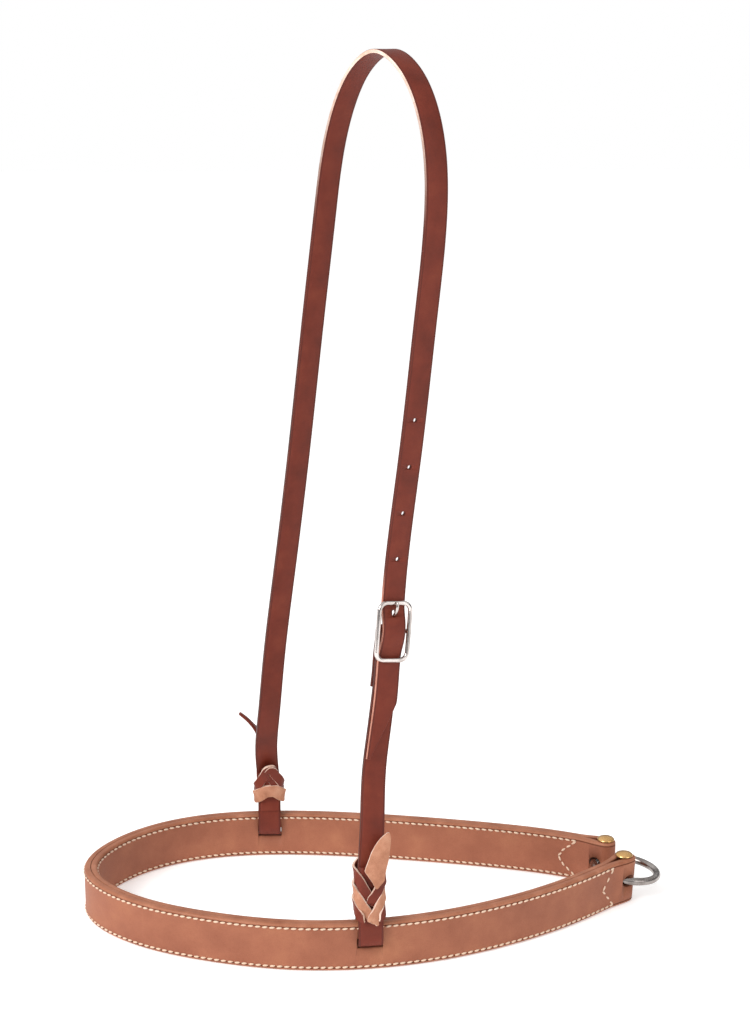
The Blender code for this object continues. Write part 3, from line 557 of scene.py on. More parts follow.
def stitchShape():
    mesh = bpy.data.meshes.new("oneStitch")
    shape = bmesh.new()
    bmesh.ops.create_uvsphere(shape, u_segments=8, v_segments=6, radius=1.0)
    for vert in shape.verts:
        x, y, z = vert.co.z, vert.co.x, vert.co.y
        # the middle stands proud and both ends dip into the leather
        lift = 1.0 - 0.55 * x * x
        thick = stitchSizes["thick"]
        vert.co = Vector((x * 0.5 * stitchSizes["length"], y * thick, z * thick * 0.8 + thick * 0.25 * lift))
    bmesh.ops.recalc_face_normals(shape, faces=shape.faces)
    shape.to_mesh(mesh)
    shape.free()
    mesh.shade_smooth()
    thing = placeObject("oneStitch", mesh)
    thing.hide_render = True
    return thing


def stitchTree(stitch):
    tree = bpy.data.node_groups.new("stitchRun", "GeometryNodeTree")
    tree.is_modifier = True
    face = tree.interface
    face.new_socket("Path", in_out="INPUT", socket_type="NodeSocketGeometry")
    pitchSocket = face.new_socket("Stitch pitch", in_out="INPUT", socket_type="NodeSocketFloat")
    slantSocket = face.new_socket("Stitch slant", in_out="INPUT", socket_type="NodeSocketFloat")
    threadSocket = face.new_socket("Thread", in_out="INPUT", socket_type="NodeSocketMaterial")
    face.new_socket("Stitches", in_out="OUTPUT", socket_type="NodeSocketGeometry")
    entry = addNode(tree, "NodeGroupInput")
    curve = addNode(tree, "GeometryNodeMeshToCurve", links={"Mesh": entry.outputs["Path"]})
    even = addNode(tree, "GeometryNodeResampleCurve", {"mode": "LENGTH"},
            links={"Curve": curve.outputs["Curve"], "Length": entry.outputs["Stitch pitch"]})
    shape = addNode(tree, "GeometryNodeObjectInfo", Object=stitch)
    facing = addNode(tree, "GeometryNodeInputNamedAttribute", {"data_type": "FLOAT_VECTOR"}, Name="facing")
    tangent = addNode(tree, "GeometryNodeInputTangent")
    upright = addNode(tree, "FunctionNodeAlignRotationToVector", {"axis": "Z"},
            links={"Vector": facing.outputs["Attribute"]})
    aligned = addNode(tree, "FunctionNodeAlignRotationToVector", {"axis": "X", "pivot_axis": "Z"},
            links={"Rotation": upright.outputs["Rotation"], "Vector": tangent.outputs["Tangent"]})
    spin = addNode(tree, "FunctionNodeAxisAngleToRotation", links={"Angle": entry.outputs["Stitch slant"]},
            Axis=(0.0, 0.0, 1.0))
    slanted = addNode(tree, "FunctionNodeRotateRotation", {"rotation_space": "LOCAL"},
            links={"Rotation": aligned.outputs["Rotation"], "Rotate By": spin.outputs["Rotation"]})
    laid = addNode(tree, "GeometryNodeInstanceOnPoints",
            links={"Points": even.outputs["Curve"], "Instance": shape.outputs["Geometry"],
            "Rotation": slanted.outputs["Rotation"]})
    solid = addNode(tree, "GeometryNodeRealizeInstances", links={"Geometry": laid.outputs["Instances"]})
    coloured = addNode(tree, "GeometryNodeSetMaterial", links={"Geometry": solid.outputs["Geometry"],
            "Material": entry.outputs["Thread"]})
    addNode(tree, "NodeGroupOutput", links={"Stitches": coloured.outputs["Geometry"]})
    return tree, {"pitch": pitchSocket.identifier, "slant": slantSocket.identifier,
            "thread": threadSocket.identifier}


def stitchPaths(side):
    # top row, bottom row and the legs of each V, each as its own open run so that corners stay crisp
    proud = 0.5 * bandSizes["ply"] + stitchSizes["proud"]
    top, low = bandSizes["height"] - bandSizes["stitchInset"], bandSizes["stitchInset"]
    nearCorner, nearApex = stitchSizes["nearCorner"], stitchSizes["nearApex"]
    farCorner, farApex = bandTotal - stitchSizes["farCorner"], bandTotal - stitchSizes["farApex"]
    middle, steps = 0.5 * bandSizes["height"], stitchSizes["legSteps"]

    def at(run, height):
        point, normal, r = min(offsetRun(side, 0.0, bandTotal, proud), key=lambda item: abs(item[2] - run))
        return Vector((point.x, point.y, height)), normal

    rows = []
    for height in (top, low):
        run = offsetRun(side, nearCorner, farCorner, proud)
        rows.append([(Vector((p.x, p.y, height)), n) for p, n, r in run])
    for corner, apex in ((nearCorner, nearApex), (farCorner, farApex)):
        for height in (top, low):
            leg = []
            for k in range(1, steps):
                leg.append(at(corner + (apex - corner) * k / steps, height + (middle - height) * k / steps))
            rows.append(leg)
    return rows


def makeStitches(name, side, tree, sockets):
    verts, edges, facing = [], [], []
    for row in stitchPaths(side):
        start = len(verts)
        for point, normal in row:
            verts.append(tuple(point))
            facing += list(normal)
        edges += [(start + k, start + k + 1) for k in range(len(row) - 1)]
    mesh = plainMesh(name, verts, [], edges)
    layer = mesh.attributes.new("facing", "FLOAT_VECTOR", "POINT")
    layer.data.foreach_set("vector", facing)
    thing = placeObject(name, mesh)
    run = thing.modifiers.new("stitchRun", "NODES")
    run.node_group = tree
    run[sockets["pitch"]] = stitchSizes["pitch"]
    run[sockets["slant"]] = stitchSizes["slant"] * side
    run[sockets["thread"]] = creamThread
    solid = evaluatedMesh(thing)
    thing.modifiers.clear()
    thing.data = solid
    return thing


stitch = stitchShape()
stitchRun, stitchSockets = stitchTree(stitch)
outerStitches = makeStitches("outerStitches", 1.0, stitchRun, stitchSockets)
innerStitches = makeStitches("innerStitches", -1.0, stitchRun, stitchSockets)
bpy.data.objects.remove(stitch, do_unlink=True)
print("stitches", len(outerStitches.data.polygons), len(innerStitches.data.polygons))

# ---- end rivets and ring

rivetSizes = {"head": 0.00475, "domeHeight": 0.0018, "segments": 56}


def turnedMesh(name, profile, centre):
    segments = rivetSizes["segments"]
    verts, faces = [], []
    for radius, height in profile:
        for k in range(segments):
            angle = 2.0 * math.pi * k / segments
            verts.append((centre.x + radius * math.cos(angle), centre.y + radius * math.sin(angle), height))
    for i in range(len(profile) - 1):
        for k in range(segments):
            n = (k + 1) % segments
            faces.append((i * segments + k, i * segments + n, (i + 1) * segments + n, (i + 1) * segments + k))
    faces.append(tuple(range(segments)))
    faces.append(tuple((len(profile) - 1) * segments + k for k in range(segments)))
    return plainMesh(name, verts, faces)


def endRivet(name, pin):
    top = bandSizes["height"] + 0.0002
    radius, head = bandSizes["pinRadius"], rivetSizes["head"]
    profile = [(radius - 0.0003, 0.0004), (radius, 0.0007), (radius, top), (head - 0.0005, top),
            (head, top + 0.0004)]
    for k in range(1, 10):
        angle = 0.5 * math.pi * k / 9.5
        profile.append((head * math.cos(angle), top + 0.0004 + rivetSizes["domeHeight"] * math.sin(angle)))
    finishObject(name, turnedMesh(name, profile, pin), [brass], 40.0)


endRivet("nearRivet", bandPath[0])
endRivet("farRivet", bandPath[-1])
for node in ("near_rivet_burr", "far_rivet_burr"):
    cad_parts[node].data.materials.clear()
    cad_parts[node].data.materials.append(brass)
ringCentre, ringNormal = ringPose(ringSizes["droop"])
around, sides = ringSizes["around"], ringSizes["sides"]
ringMesh = sweepMesh("tieRing", ringFrames(ringCentre, ringNormal, ringSizes["radius"], around),
        [roundSection(ringSizes["wire"], sides)] * around, [0] * sides, closed=True)
finishObject("tieRing", ringMesh, [dullSteel])
print("rivets and ring done")

# ---- hanger straps

strapSizes = {
    "width": 0.0127,
    "thick": 0.0022,
    "foldThick": 0.0016,
    "standOff": 0.0024,
    "clear": 0.00045,
    "nearLean": 0.0010,  # how far each leg leans inward above the band, for each leanOver of height
    "farLean": 0.0012,
    "leanOver": 0.015,
    "tipLength": 0.030,
    "tipCut": 0.86,
    "tongueHole": (0.0091, 0.0012, 0.0007),  # above the bar, radius, stretch
    "holeCount": 4,
    "holeRadius": 0.0012,
    "holePitch": 0.0236,
    "firstHole": 0.205,
    "nearRise": [(-0.0030, -0.0716, 0.040), (-0.0022, -0.0655, 0.070), (0.0021, -0.0562, 0.100),
        (0.0074, -0.0455, 0.136), (0.0103, -0.0402, 0.1683), (0.0126, -0.0360, 0.198),
        (0.0191, -0.0327, 0.259), (0.0270, -0.0300, 0.330), (0.0313, -0.0288, 0.378),
        (0.0302, -0.0253, 0.4116), (0.0250, -0.0198, 0.434), (0.0187, -0.0125, 0.4465)],
    "crownTop": (0.0080, -0.0005, 0.4542),
    "turnHeights": [0.0, 0.040, 0.070, 0.100, 0.136, 0.200, 0.300, 0.500],
    "nearAngles": [3.0, 7.0, 15.0, 20.0, 23.0, 25.0, 28.0, 30.0],  # which way the width points at each height
    "farAngles": [-4.5, 3.0, 14.0, 20.0, 23.0, 25.0, 28.0, 30.0],
    "farRise": [(-0.0540, 0.0665, 0.040), (-0.0550, 0.0585, 0.068), (-0.0535, 0.0500, 0.090),
        (-0.0500, 0.0430, 0.128), (-0.0440, 0.0377, 0.177), (-0.0355, 0.0325, 0.245),
        (-0.0267, 0.0284, 0.323), (-0.0208, 0.0270, 0.373), (-0.0158, 0.0242, 0.409),
        (-0.0093, 0.0188, 0.433), (-0.0028, 0.0117, 0.4462)],
}
buckleSizes = {
    "width": 0.0200,
    "height": 0.0318,
    "corner": 0.0042,
    "wire": 0.0012,
    "barBack": 0.0047,
    "barBend": 0.0014,
    "barReach": 0.0067,
    "tongue": 0.0008,
}
nearRise = [Vector(p) + shift for p in strapSizes["nearRise"]]
farRise = [Vector(p) + shift for p in strapSizes["farRise"]]
crownTop = Vector(strapSizes["crownTop"]) + shift


def widthAt(z, far):
    angles = strapSizes["farAngles" if far else "nearAngles"]
    angle = math.radians(float(np.interp(z, strapSizes["turnHeights"], angles)))
    return Vector((math.cos(angle), math.sin(angle), 0.0))


def buckleAxes():
    low, mid, high = nearRise[3], nearRise[4], nearRise[5]
    along = (high - low).normalized()
    width = squareTo(widthAt(mid.z, False), along)
    return mid, width, along, width.cross(along).normalized()


buckleCentre, buckleWidth, buckleAlong, buckleOut = buckleAxes()


def strapFrames(points, farFlags):
    frames = []
    for point, direction, far in zip(points, directions(points), farFlags):
        # close to the buckle the strap lies square to it
        away = ease(((point - buckleCentre).length - 0.018) / 0.012)
        width = squareTo(widthAt(point.z, far) * away + buckleWidth * (1.0 - away), direction)
        if frames and width.dot(frames[-1][1]) < 0.0:
            width = -width
        frames.append((point, width, direction.cross(width).normalized()))
    return frames


def slotLoop(x, far):
    point, normal = bandPoint(x, far)
    stand = plyOffset + 0.5 * bandSizes["ply"] + strapSizes["standOff"]
    turn = stand - 0.0008
    mid = bandSizes["slotZ"]
    base = Vector((point.x, point.y, 0.0))
    # out from the band's middle, height
    rows = [(-0.0013, 0.0445), (-0.0021, 0.0390), (-0.0038, 0.0335), (-0.0054, 0.0290), (-stand, 0.0250),
            (-stand, 0.0208), (-stand + 0.0001, mid + 0.0028), (-turn, mid + 0.0005),
            (-turn + 0.0015, mid - 0.0005),
            (-0.0022, mid - 0.0006), (0.0022, mid - 0.0006), (turn - 0.0015, mid - 0.0005),
            (turn, mid + 0.0005),
            (stand - 0.0001, mid + 0.0028), (stand, 0.0208), (stand, 0.0250), (0.0054, 0.0290),
            (0.0038, 0.0335),
            (0.0022, 0.0385)]
    lean = strapSizes["farLean" if far else "nearLean"]
    over = strapSizes["leanOver"]
    points = []
    for offset, height in rows:
        above = max(0.0, (height - bandSizes["height"]) / over)
        points.append(base + normal * (offset - lean * above) + upAxis * height)
    return points


behindBar = -(buckleSizes["wire"] + strapSizes["clear"] + 0.5 * strapSizes["thick"])


def crownPoints():
    points = slotLoop(bandSizes["farSlotX"], True) + farRise[1:] + [crownTop] + nearRise[:5:-1]
    # along the buckle, out from it
    rows = [(0.0225, behindBar), (0.0160, behindBar), (0.0115, behindBar + 0.0004), (0.0050, -0.0003),
            (-0.0050, -0.0003), (-0.0115, behindBar + 0.0004), (-0.0160, behindBar), (-0.0225, behindBar)]
    points += [buckleCentre + buckleAlong * a + buckleOut * b for a, b in rows]
    points.append(nearRise[3] + buckleOut * (behindBar + 0.0002))
    points.append(0.5 * (nearRise[2] + nearRise[3]) + buckleOut * (behindBar + 0.0002))
    points.append(nearRise[2] + Vector((0.0004, 0.0, 0.0045)) + buckleOut * (behindBar + 0.0003))
    return points


def strapSection(low, high, thick):
    half, middle = 0.5 * (high - low), 0.5 * (high + low)
    corner = min(0.00045, half * 0.6)
    section = cornerSection(half, 0.5 * thick, (corner,) * 4, 3)
    slots = [1] * len(section)
    slots[3] = slots[11] = 0
    # corners next to a face belong to it, so only the middle of the edge is bare
    for k in (1, 2, 4, 5, 9, 10, 12, 13):
        slots[k] = 0
    return [(a + middle, b) for a, b in section], slots


def crownStrap():
    points = smoothPath(crownPoints(), 620)
    flags, passed = [], False
    for point in points:
        passed = passed or point.z > 0.4535
        flags.append(not passed and point.y > 0.0)
    frames = strapFrames(points, flags)
    tip = frames[-1][0]
    half = 0.5 * strapSizes["width"]
    sections = []
    for point, first, second in frames:
        fromTip = (point - tip).length
        right = half
        if point.z < 0.140 and point.y < 0.0 and fromTip < strapSizes["tipLength"]:
            # the billet's tip is cut on a slant
            cut = strapSizes["width"] * strapSizes["tipCut"]
            right = half - cut * (1.0 - fromTip / strapSizes["tipLength"])
        section, slots = strapSection(-half, right, strapSizes["thick"])
        sections.append(section)
    mesh = sweepMesh("crownStrap", frames, sections, slots)
    thing = finishObject("crownStrap", mesh, [latigoGrain, latigoPaleEdgeShaded, latigoShadeEdge])
    for face in thing.data.polygons:
        # the far leg's edges take the painted shade all the way down
        if face.material_index == 1 and face.center.y > 0.0 and face.center.z < 0.3:
            face.material_index = 2
    cutters = []
    for k in range(strapSizes["holeCount"]):
        height = strapSizes["firstHole"] + k * strapSizes["holePitch"]
        point, first, second = min((f for f in frames if f[0].y < 0.0), key=lambda f: abs(f[0].z - height))
        cutters.append(holeCutter(point, second, first.cross(second), strapSizes["holeRadius"], 0.0))
    above, radius, stretch = strapSizes["tongueHole"]
    cutters.append(holeCutter(buckleCentre + buckleAlong * above, buckleOut, buckleAlong, radius, stretch))
    cutWith(thing, cutters)


def holeCutter(centre, axis, along, radius, stretch, count=28):
    side = axis.cross(along).normalized()
    verts = []
    for depth in (-0.004, 0.004):
        for k in range(count):
            angle = 2.0 * math.pi * k / count
            rise = math.sin(angle) * radius + (stretch if math.sin(angle) > 0.0 else -stretch)
            verts.append(tuple(centre + axis * depth + side * math.cos(angle) * radius + along * rise))
    faces = [tuple(range(count)), tuple(range(count, 2 * count))]
    faces += [(k, (k + 1) % count, count + (k + 1) % count, count + k) for k in range(count)]
    return finishObject("holeCutter", plainMesh("holeCutter", verts, faces), [cutWall])


def cheekStrap():
    # runs behind the billet, over the centre bar and back down behind itself
    behind = -(buckleSizes["wire"] + strapSizes["clear"] + 1.5 * strapSizes["thick"] + 0.0003)
    fold = buckleSizes["wire"] + 0.0003 + 0.5 * strapSizes["foldThick"]
    back = buckleSizes["barBack"]
    backLeg = 0.5 * (strapSizes["thick"] + strapSizes["foldThick"]) + 0.0003
    points = slotLoop(bandSizes["nearSlotX"], False) + [nearRise[1]]
    points.append(nearRise[2] + buckleOut * (behind - 0.0002))
    points.append(0.5 * (nearRise[2] + nearRise[3]) + buckleOut * (behind - 0.0002))
    points.append(nearRise[3] + buckleOut * (behind - 0.0002))
    rows = [(-0.0225, behind - 0.0001), (-0.0150, behind - 0.0001), (-0.0080, -back + fold - 0.0014),
            (-0.0035, -back + fold - 0.0001)]
    rows += [(fold * math.sin(math.pi * k / 6.0),
            -back + fold * math.cos(math.pi * k / 6.0)) for k in range(7)]
    rows += [(-0.0035, -back - fold), (-0.0080, -back - fold - 0.0004), (-0.0150, behind - backLeg - 0.0004),
            (-0.0225, behind - backLeg - 0.0004)]
    points += [buckleCentre + buckleAlong * a + buckleOut * b for a, b in rows]
    points.append(nearRise[3] + buckleAlong * 0.003 + buckleOut * (behind - backLeg - 0.0006))
    path = smoothPath(points, 460)
    frames = strapFrames(path, [False] * len(path))
    foldStart = buckleCentre - buckleAlong * 0.0150
    sections, reached = [], False
    for point, first, second in frames:
        ahead = (point - foldStart).dot(buckleAlong)
        reached = reached or (point - buckleCentre).length < 0.006
        thick = strapSizes["thick"]
        if ahead > -0.004 or reached:
            share = 0.0 if reached else 1.0 - ease((ahead + 0.004) / 0.008)
            thick = strapSizes["foldThick"] + (strapSizes["thick"] - strapSizes["foldThick"]) * share
        section, slots = strapSection(-0.5 * strapSizes["width"], 0.5 * strapSizes["width"], thick)
        sections.append(section)
    thing = finishObject("cheekStrap", sweepMesh("cheekStrap", frames, sections, slots),
            [latigoGrain, latigoShadeEdge])
    slot = boxCutter(buckleCentre - buckleOut * back + buckleAlong * 0.0015, buckleWidth, buckleOut,
            buckleAlong,
            (0.0048, 0.012, 0.0130))
    cutWith(thing, [slot])


crownStrap()
cheekStrap()
print("straps done")

# ---- blood knots, leaf and curled end

knotSizes = {
    "strand": 0.0052,
    "archStrand": 0.0074,
    "strandThick": 0.0016,
    "farThick": 0.0021,
    "pointCut": 0.72,
    "pointLength": 0.0034,
    "halfWidth": 0.0065,
    "roundness": 0.62,
    "coreHeights": (0.0300, 0.0535),
    "heights": [0.0290, 0.0330, 0.0370, 0.0410],
    "halfDepths": [0.0082, 0.0066, 0.0056, 0.0051],
    "sideRise": 0.0110,
    "backRise": 0.0065,
    "nearTurns": [(0.0388, 0), (0.0303, 2), (0.0225, 0)],  # height on the outer face, and grain or flesh out
    "farTurns": [(0.0580, 0), (0.0515, 0)],   # height on the inner face
    "archHeight": 0.0440,
    "archSide": [(52, 0.0102, -0.0006), (66, 0.0092, 0.0002), (82, 0.0080, 0.0010), (100, 0.0066, 0.0014),
        (130, 0.0046, 0.0016), (155, 0.0024, 0.0017), (172, 0.0007, 0.0018)],  # turn, drop, lift
}


def knotLine(x, far):
    point, normal = bandPoint(x, far)
    lean = strapSizes["farLean" if far else "nearLean"]
    line = [Vector((point.x, point.y, z)) - normal * lean * (z - bandSizes["height"]) / strapSizes["leanOver"]
            for z in (0.0260, 0.0335, 0.0385)]
    upper = (farRise if far else nearRise)[1]
    line += [upper, upper + (upper - line[-1]) * 0.3]
    return smoothPath(line, 90)


def knotFrame(line, z, far):
    # centre, across, outward at a height
    heights = [p.z for p in line]
    centre = Vector([float(np.interp(z, heights, [p[axis] for p in line])) for axis in range(2)] + [z])
    k = min(max(int(np.searchsorted(heights, z)), 1), len(line) - 1)
    up = (line[k] - line[k - 1]).normalized()
    width = squareTo(widthAt(z, far), up)
    out = width.cross(up).normalized()
    if (out.y > 0.0) != far:
        out = -out
    return centre, width, out


def wrapPoint(line, far, turn, z, lift):
    # turn 0 is the middle of the outer face, plus or minus 180 degrees the middle of the inner one
    centre, width, out = knotFrame(line, z, far)
    depth = float(np.interp(z, knotSizes["heights"], knotSizes["halfDepths"])) + lift
    reach = knotSizes["halfWidth"] + lift
    sine, cosine, power = math.sin(turn), math.cos(turn), knotSizes["roundness"]
    a = reach * math.copysign(abs(sine) ** power, sine)
    b = depth * math.copysign(abs(cosine) ** power, cosine)
    normal = (width * (a / reach ** 2) + out * (b / depth ** 2)).normalized()
    return centre + width * a + out * b, normal


def paleEnds(mesh):
    for face in mesh.polygons:
        if len(face.vertices) > 4:
            face.material_index = 1
    return mesh


def strandMesh(name, line, far, rows, skin, wide):
    # rows hold turn in degrees, height, lift
    spots = smoothPath([(math.radians(t) * 0.01, z, h) for t, z, h in rows], 72)
    placed = [wrapPoint(line, far, s.x * 100.0, s.y, s.z) for s in spots]
    points = [p for p, n in placed]
    frames = []
    for (point, normal), direction in zip(placed, directions(points)):
        across = direction.cross(normal).normalized()
        frames.append((point, across, across.cross(direction).normalized()))
    half = 0.5 * wide
    sections = []
    runs = runLengths(points)
    thick = knotSizes["farThick" if far else "strandThick"]
    for run in runs:
        # both ends are cut to a point
        fromEnd = min(run, runs[-1] - run) / knotSizes["pointLength"]
        share = 1.0 - knotSizes["pointCut"] * (1.0 - ease(fromEnd))
        section, slots = strapSection(-half * share, half * share, thick)
        sections.append(section)
    return paleEnds(sweepMesh(name, frames, sections, [skin if v == 0 else 1 for v in slots]))


def coreMesh(name, line, far):
    frames, sections = [], []
    for z in np.linspace(*knotSizes["coreHeights"], 24):
        centre, width, out = knotFrame(line, float(z), far)
        depth = float(np.interp(z, knotSizes["heights"], knotSizes["halfDepths"])) - 0.0006
        frames.append((centre, width, out))
        sections.append(cornerSection(knotSizes["halfWidth"] - 0.0005, depth, (0.0016,) * 4, 4))
    return sweepMesh(name, frames, sections, [0] * len(sections[0]))


def joinedMesh(name, meshes):
    shape = bmesh.new()
    for mesh in meshes:
        shape.from_mesh(mesh)
    joined = bpy.data.meshes.new(name)
    shape.to_mesh(joined)
    shape.free()
    for mesh in meshes:
        bpy.data.meshes.remove(mesh)
    return joined


def bloodKnot(name, x, far):
    line = knotLine(x, far)
    rise, back = knotSizes["sideRise"], knotSizes["backRise"]
    meshes = [coreMesh(name + "Core", line, far)]
    turns = knotSizes["farTurns"] if far else knotSizes["nearTurns"]
    for level, (height, skin) in enumerate(turns):
        for hand in (1, -1):
            over = 0.0013 if hand == 1 else 0.0003  # the right arm lies on the left one
            past = 6 if hand == 1 else 16
            if far:
                over -= 0.0008 * level
                side = 0.0009 - 0.0005 * level
                rows = [(180 + past * 1.2, 0.0011 * past / 6.0, over - 0.00004 * past), (180, 0.0, over),
                        (170, 0.0026, over), (155, 0.0060, over), (130, 0.0102, side), (100, 0.0138, side),
                        (82, 0.0156, 0.0008), (50, 0.0186, 0.0008), (20, 0.0206, 0.0009), (-6, 0.0222, over)]
            else:
                rows = [(-past, 0.0016 * past / 6.0, over - 0.0002), (8, -0.0024, over),
                        (22, -0.0056, 0.0010),
                        (45, -0.0087, 0.0009), (72, -0.0104, 0.0008), (96, -0.0114, 0.0007)]
                if height < 0.0262:
                    rows = rows[2:]
                rows += [(140, -rise - 0.0035, 0.0010), (172, -rise - back, over),
                        (180 + past, -rise - back - 0.0012, over)]
            rows = [(hand * turn, height - drop, lift) for turn, drop, lift in rows]
            meshes.append(strandMesh(name + "Strand", line, far, rows, skin, knotSizes["strand"]))
    if far:
        rows = [(360 - t, knotSizes["archHeight"] - z, lift) for t, z, lift in knotSizes["archSide"]]
        rows += [(t, knotSizes["archHeight"] - z, lift) for t, z, lift in knotSizes["archSide"][::-1]]
        meshes.append(strandMesh(name + "Arch", line, far, rows, 2, knotSizes["archStrand"]))
    finishObject(name, joinedMesh(name, meshes), [latigoGrain, latigoEdge, fleshSide], 40.0)
    return line


nearLine = bloodKnot("nearKnot", bandSizes["nearSlotX"], False)
bloodKnot("farKnot", bandSizes["farSlotX"], True)

leafSizes = {
    "heights": [0.0446, 0.0482, 0.0525, 0.0544, 0.0573, 0.0613, 0.0645, 0.0673, 0.0692, 0.0712],
    "left": [0.0017, -0.0008, -0.0046, -0.0042, -0.0032, -0.0018, -0.0001, 0.0017, 0.0034, 0.0058],
    "right": [0.0027, 0.0060, 0.0064, 0.0066, 0.0072, 0.0078, 0.0081, 0.0082, 0.0080, 0.0070],
    "thick": 0.0015,
    "standOff": 0.0034,
    "settle": 0.0016,  # how much nearer the strap it lies at its tip
    "settleFrom": 0.055,
    "settleOver": 0.012,
    "cup": 0.08,
}
curlSizes = {
    "rows": [(0.0, 0.0052, -0.0200), (0.0, 0.0066, -0.0100), (0.0, 0.0064, -0.0040),
    (-0.0008, 0.0058, 0.0015),
        (-0.0030, 0.0055, 0.0080), (-0.0062, 0.0055, 0.0130), (-0.0100, 0.0056, 0.0175),
        (-0.0138, 0.0058, 0.0210)],  # across, out, up
    "halfWidth": 0.0046,
    "thick": 0.0016,
    "taper": 0.76,
    "twist": math.radians(78.0),
    "steps": 90,
}


def leafEnd():
    frames, sections = [], []
    for z in np.linspace(leafSizes["heights"][0], leafSizes["heights"][-1], 44):
        centre, width, out = knotFrame(nearLine, float(z), False)
        low = float(np.interp(z, leafSizes["heights"], leafSizes["left"]))
        high = float(np.interp(z, leafSizes["heights"], leafSizes["right"]))
        depth = float(np.interp(z, knotSizes["heights"], knotSizes["halfDepths"]))
        depth += leafSizes["standOff"]
        depth -= leafSizes["settle"] * ease((z - leafSizes["settleFrom"]) / leafSizes["settleOver"])
        frames.append((centre + out * depth, width, out))
        section, slots = strapSection(low, high, leafSizes["thick"])
        sections.append([(a, b - leafSizes["cup"] * abs(a - 0.5 * (low + high))) for a, b in section])
    mesh = paleEnds(sweepMesh("nearLeaf", frames, sections, [2 if v == 0 else 1 for v in slots]))
    finishObject("nearLeaf", mesh, [latigoGrain, latigoEdge, fleshSide], 40.0)


def curledEnd():
    root = farRise[1]
    width = widthAt(0.066, True)
    out = Vector((-width.y, width.x, 0.0))
    count = curlSizes["steps"]
    points = smoothPath([root + width * a + out * b + upAxis * c for a, b, c in curlSizes["rows"]], count)
    frames, sections = [], []
    for k, (spot, direction) in enumerate(zip(points, directions(points))):
        share = k / (count - 1.0)
        twist = curlSizes["twist"] * ease((share - 0.3) / 0.5)
        across = width * math.cos(twist) + out * math.sin(twist)
        across = squareTo(across, direction)
        half = curlSizes["halfWidth"] * (1.0 - curlSizes["taper"] * share ** 1.6)
        frames.append((spot, across, direction.cross(across).normalized()))
        section, slots = strapSection(-half, half, curlSizes["thick"])
        sections.append(section)
    finishObject("farCurl", sweepMesh("farCurl", frames, sections, [0] * len(slots)), [latigoGrain])


leafEnd()
curledEnd()
print("knots done")

# ---- buckle


def buckleFrame():
    halfW, halfH = (0.5 * buckleSizes[k] - buckleSizes["wire"] for k in ("width", "height"))
    corner = buckleSizes["corner"]
    points, outs = [], []
    for quarter, (sa, sb) in enumerate(((1, 1), (-1, 1), (-1, -1), (1, -1))):
        for k in range(17):
            angle = 0.5 * math.pi * (quarter + k / 16.0)
            out = buckleWidth * math.cos(angle) + buckleAlong * math.sin(angle)
            middle = buckleCentre + buckleWidth * sa * (halfW - corner) + buckleAlong * sb * (halfH - corner)
            points.append(middle + out * corner)
            outs.append(out)
    frames = [(p, o, buckleOut) for p, o in zip(points, outs)]
    wire = [roundSection(buckleSizes["wire"], 20)] * len(frames)
    finishObject("buckleFrame", sweepMesh("buckleFrame", frames, wire, [0] * 20, closed=True), [brightNickel])


def centreBar():
    reach = 0.5 * buckleSizes["width"] - buckleSizes["wire"]
    start, back = -buckleSizes["wire"] * 0.4, buckleSizes["barBack"]
    bend, backReach = buckleSizes["barBend"], buckleSizes["barReach"]
    angles = [0.5 * math.pi * k / 8.0 for k in range(9)]
    corner = [(backReach - bend + bend * math.sin(a), -back + bend - bend * math.cos(a)) for a in angles]
    rows = [(-a, b) for a, b in [(reach, start)] + corner[::-1]] + corner + [(reach, start)]
    points = [buckleCentre + buckleWidth * a + buckleOut * b for a, b in rows]
    frames = [(p, buckleAlong, d.cross(buckleAlong).normalized()) for p, d in zip(points, directions(points))]
    mesh = sweepMesh("centreBar", frames, [roundSection(buckleSizes["wire"], 18)] * len(frames), [0] * 18)
    finishObject("centreBar", mesh, [brightNickel])


def buckleTongue():
    eye, back = buckleSizes["wire"] + 0.0003 + buckleSizes["tongue"], buckleSizes["barBack"]
    points = []
    for k in range(31):
        angle = math.radians(100.0 + 260.0 * k / 30.0)  # the eye round the bar
        points.append(buckleCentre + buckleOut * (-back + eye * math.cos(angle)) + buckleAlong * eye * math.sin(angle))
    rows = [(0.0030, -back + eye), (0.0056, -0.0023), (0.0078, -0.0010), (0.0098, 0.0010), (0.0118, 0.0021),
            (0.0140, buckleSizes["wire"] + 0.00035 + buckleSizes["tongue"]), (0.0158, 0.0022)]
    points += smoothPath([buckleCentre + buckleAlong * a + buckleOut * b for a, b in rows], 50)
    frames = [(p, buckleWidth, d.cross(buckleWidth).normalized()) for p, d in zip(points, directions(points))]
    count = len(frames)
    sections = []
    for k in range(count):
        taper = 1.0 - 0.35 * ease((k - count + 12) / 11.0)
        sections.append(roundSection(buckleSizes["tongue"] * taper, 16))
    finishObject("buckleTongue", sweepMesh("buckleTongue", frames, sections, [0] * 16), [brightNickel])


buckleFrame()
centreBar()
buckleTongue()
print("buckle done")

# ---- floor, light and camera

studioSizes = {
    "floorHalf": 6.0,
    "floorGlow": 0.3,
    "lights": [("keyLight", (-1.3, -1.0, 1.2), (-0.02, 0, 0.1), 0.9, 24.0),
        ("fillLight", (1.2, -1.1, 0.7), (0, 0, 0.1), 1.0, 5.0)],  # place, target, size, watts
    "cameraPlace": (-0.0584, -0.94455, 0.4586),
    "cameraTurn": 0.061,
    "cameraDown": 0.243,
    "lens": 66.62,
}


